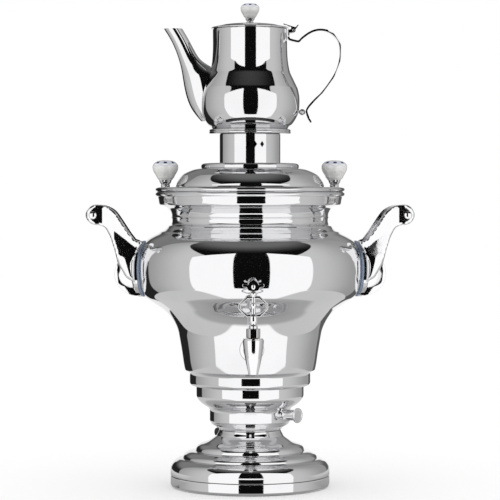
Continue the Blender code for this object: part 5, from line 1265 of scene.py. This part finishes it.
def makeWorld():
    world = bpy.data.worlds.new("studio")
    bpy.context.scene.world = world
    paint = Paint(world)
    x, y, z = paint.split(paint.node("ShaderNodeTexCoord", output="Generated"))
    turn = x.maths("ARCTAN2", x, y * -1.0) * math.degrees(1)
    rise = z.maths("ARCSINE", z) * math.degrees(1)
    side = abs(turn)
    look = studio
    right = paint.step(turn, -1.0, 1.0)
    behind = look["behindLeft"] + right * (look["behindRight"] - look["behindLeft"])
    behind = behind + paint.step(rise, *look["behindRise"]) * look["behindHigh"]
    back = paint.step(side, *look["backSide"]) * (1 - paint.step(rise, *look["backRise"]))
    behind = behind + back * look["backlight"]
    wallEnd = look["wallEnd"] + right * (look["wallEndRight"] - look["wallEnd"])
    past = paint.step(side - wallEnd, -1.0, 1.0)
    upper = paint.step(rise, *look["wallHigh"])
    dimmed = 1 - paint.step(side, *look["wallDims"]) * look["wallFall"]
    wall = (1 - past) * dimmed * look["wall"] + past * behind
    around = (1 - upper) * wall + upper * look["ceiling"]
    lower = 1 - paint.step(rise, *look["floorRise"])
    around = (1 - lower) * around + lower * look["wall"]
    frontEnd = look["frontEnd"] + paint.step(rise, *look["overhead"]) * look["overheadSpread"]
    front = 1 - paint.step(side - frontEnd, -0.7, 0.7)
    ahead = look["gap"] + paint.step(rise, *look["frontHigh"]) * look["ceiling"]
    view = front * ahead + (1 - front) * around
    glossy = paint.ray("Is Glossy Ray")
    diffuse = look["plainLight"] + paint.ray("Is Camera Ray") * (1 - look["plainLight"])
    strength = glossy * view + (1 - glossy) * diffuse
    light = paint.node("ShaderNodeBackground", {}, {"Color": shade(1.0), "Strength": strength})
    paint.surface(light, "World")


def staged(name, shape, materialName):
    piece = asObject(name, shape)
    material = bpy.data.materials.new(materialName)
    piece.data.materials.append(material)
    return Paint(material)


def makeFloor():
    look = studio
    shape = bmesh.new()
    bmesh.ops.create_grid(shape, x_segments=1, y_segments=1, size=6.0)
    paint = staged("floor", shape, "paleFloor")
    place = paint.node("ShaderNodeTexCoord", output="Object")
    distance = paint.length(place)
    x, y, _ = paint.split(place)
    turn = x.maths("ARCTAN2", abs(x), y * -1.0) * math.degrees(1)
    diffuse = paint.node("ShaderNodeBsdfDiffuse", {}, {"Color": shade(look["floor"])})
    glow = paint.glow(paint.ray("Is Camera Ray") * look["floorGlow"])
    seen = paint.node("ShaderNodeAddShader", {}, {0: diffuse, 1: glow})
    # reflections see a table with a painted shadow, dark near the foot, and painted light as bright as the
    # softboxes farther out in front
    beside = paint.step(turn - distance * look["tableSpread"], *look["tableSide"])
    # painted shadow of the samovar on the table, lightening a little outwards
    paintedShadow = look["paintedShadowLevel"] + paint.step(distance, 0.02, look["tableShade"][0]) * look["paintedShadowRise"]
    # painted softbox light on the table, falling to the walls' shade beside
    paintedLight = look["softbox"] - beside * (look["softbox"] - look["wall"])
    lit = paint.step(distance, *look["tableShade"])
    table = paint.glow(paintedShadow + (paintedLight - paintedShadow) * lit)
    edge = paint.step(distance, look["tableReach"] - 0.003, look["tableReach"] + 0.003)
    grazing = paint.step(paint.node("ShaderNodeLayerWeight", {}, {"Blend": 0.5}, 1), *look["grazing"])
    grazing = grazing * (1 - paint.step(turn, *look["grazingTurn"]))
    clear = paint.node("ShaderNodeBsdfTransparent")
    mirrored = paint.either(edge.maths("MAXIMUM", edge, grazing), table, clear)
    paint.surface(paint.either(paint.ray("Is Glossy Ray"), seen, mirrored))


def makeCard(name, left, right, foot, top, distance):
    # a standing white card that only reflections see
    shape = bmesh.new()
    bmesh.ops.create_grid(shape, x_segments=1, y_segments=1, size=0.5)
    bmesh.ops.scale(shape, vec=(right - left, top - foot, 1.0), verts=shape.verts)
    bmesh.ops.rotate(shape, matrix=Matrix.Rotation(math.radians(90), 3, "X"), verts=shape.verts)
    bmesh.ops.translate(shape, vec=((left + right) / 2, -distance, (foot + top) / 2), verts=shape.verts)
    paint = staged(name, shape, name)
    clear = paint.node("ShaderNodeBsdfTransparent")
    paint.surface(paint.either(paint.ray("Is Glossy Ray"), clear, paint.glow(studio["softbox"])))


def makeCards():
    look = studio
    inner, outer = look["softboxInner"], look["softboxOuter"]
    upright = (look["softboxFoot"], look["softboxTop"], look["softboxDistance"])
    makeCard("softboxLeft", -outer, -inner, *upright)
    makeCard("softboxRight", inner, outer, *upright)
    makeCard("lowCard", -look["cardHalf"], look["cardHalf"], *look["cardEnds"], look["cardDistance"])


cameraSizes = {
    "distance": 2.236,
    "height": 0.309,
    "azimuth": 1.4,
    "aim": 0.2555,
    "lens": 149.0,
}


def makeCamera():
    size = cameraSizes
    turn = math.radians(size["azimuth"])
    place = Vector((-size["distance"] * math.sin(turn), -size["distance"] * math.cos(turn), size["height"]))
    lens = bpy.data.cameras.new("camera")
    lens.lens = size["lens"]
    eye = bpy.data.objects.new("camera", lens)
    eye.location = place
    eye.rotation_euler = (Vector((0.0, 0.0, size["aim"])) - place).to_track_quat("-Z", "Y").to_euler()
    bpy.context.scene.collection.objects.link(eye)
    bpy.context.scene.camera = eye


makeCamera()
makeWorld()
makeFloor()
makeCards()
bpy.context.scene.view_settings.view_transform = "Standard"
print("stage made")
makeFoot()
makeHousing()
makeTemperatureKnob()
makeVessel()
print("foot, housing and vessel made")
makeTap()
makeHandles()
print("tap and handles made")
makeLid()
for sideName in ("left", "right"):
    nodes = (f"lid_knob_{sideName}", f"lid_knob_socket_{sideName}")
    makePorcelainKnob(f"lidKnob_{sideName}", "lid", *nodes, *knobShapes["lidKnob"])
makePotLid()
makePorcelainKnob("potKnob", "teapot_lid", "teapot_lid_knob", "teapot_knob_socket", *knobShapes["potKnob"])
makePot()
print("lid and teapot made")

# Every other node keeps its solid and takes the finish of its slot
slotOf = {entry["node"]: entry["material_slot"] for entry in frame["record"]["subparts"]}
for nodeName, solid in frame["nodes"].items():
    if solid.hide_render:
        continue
    for materialSlot in solid.material_slots:
        materialSlot.material = materials[slotOf[nodeName]]
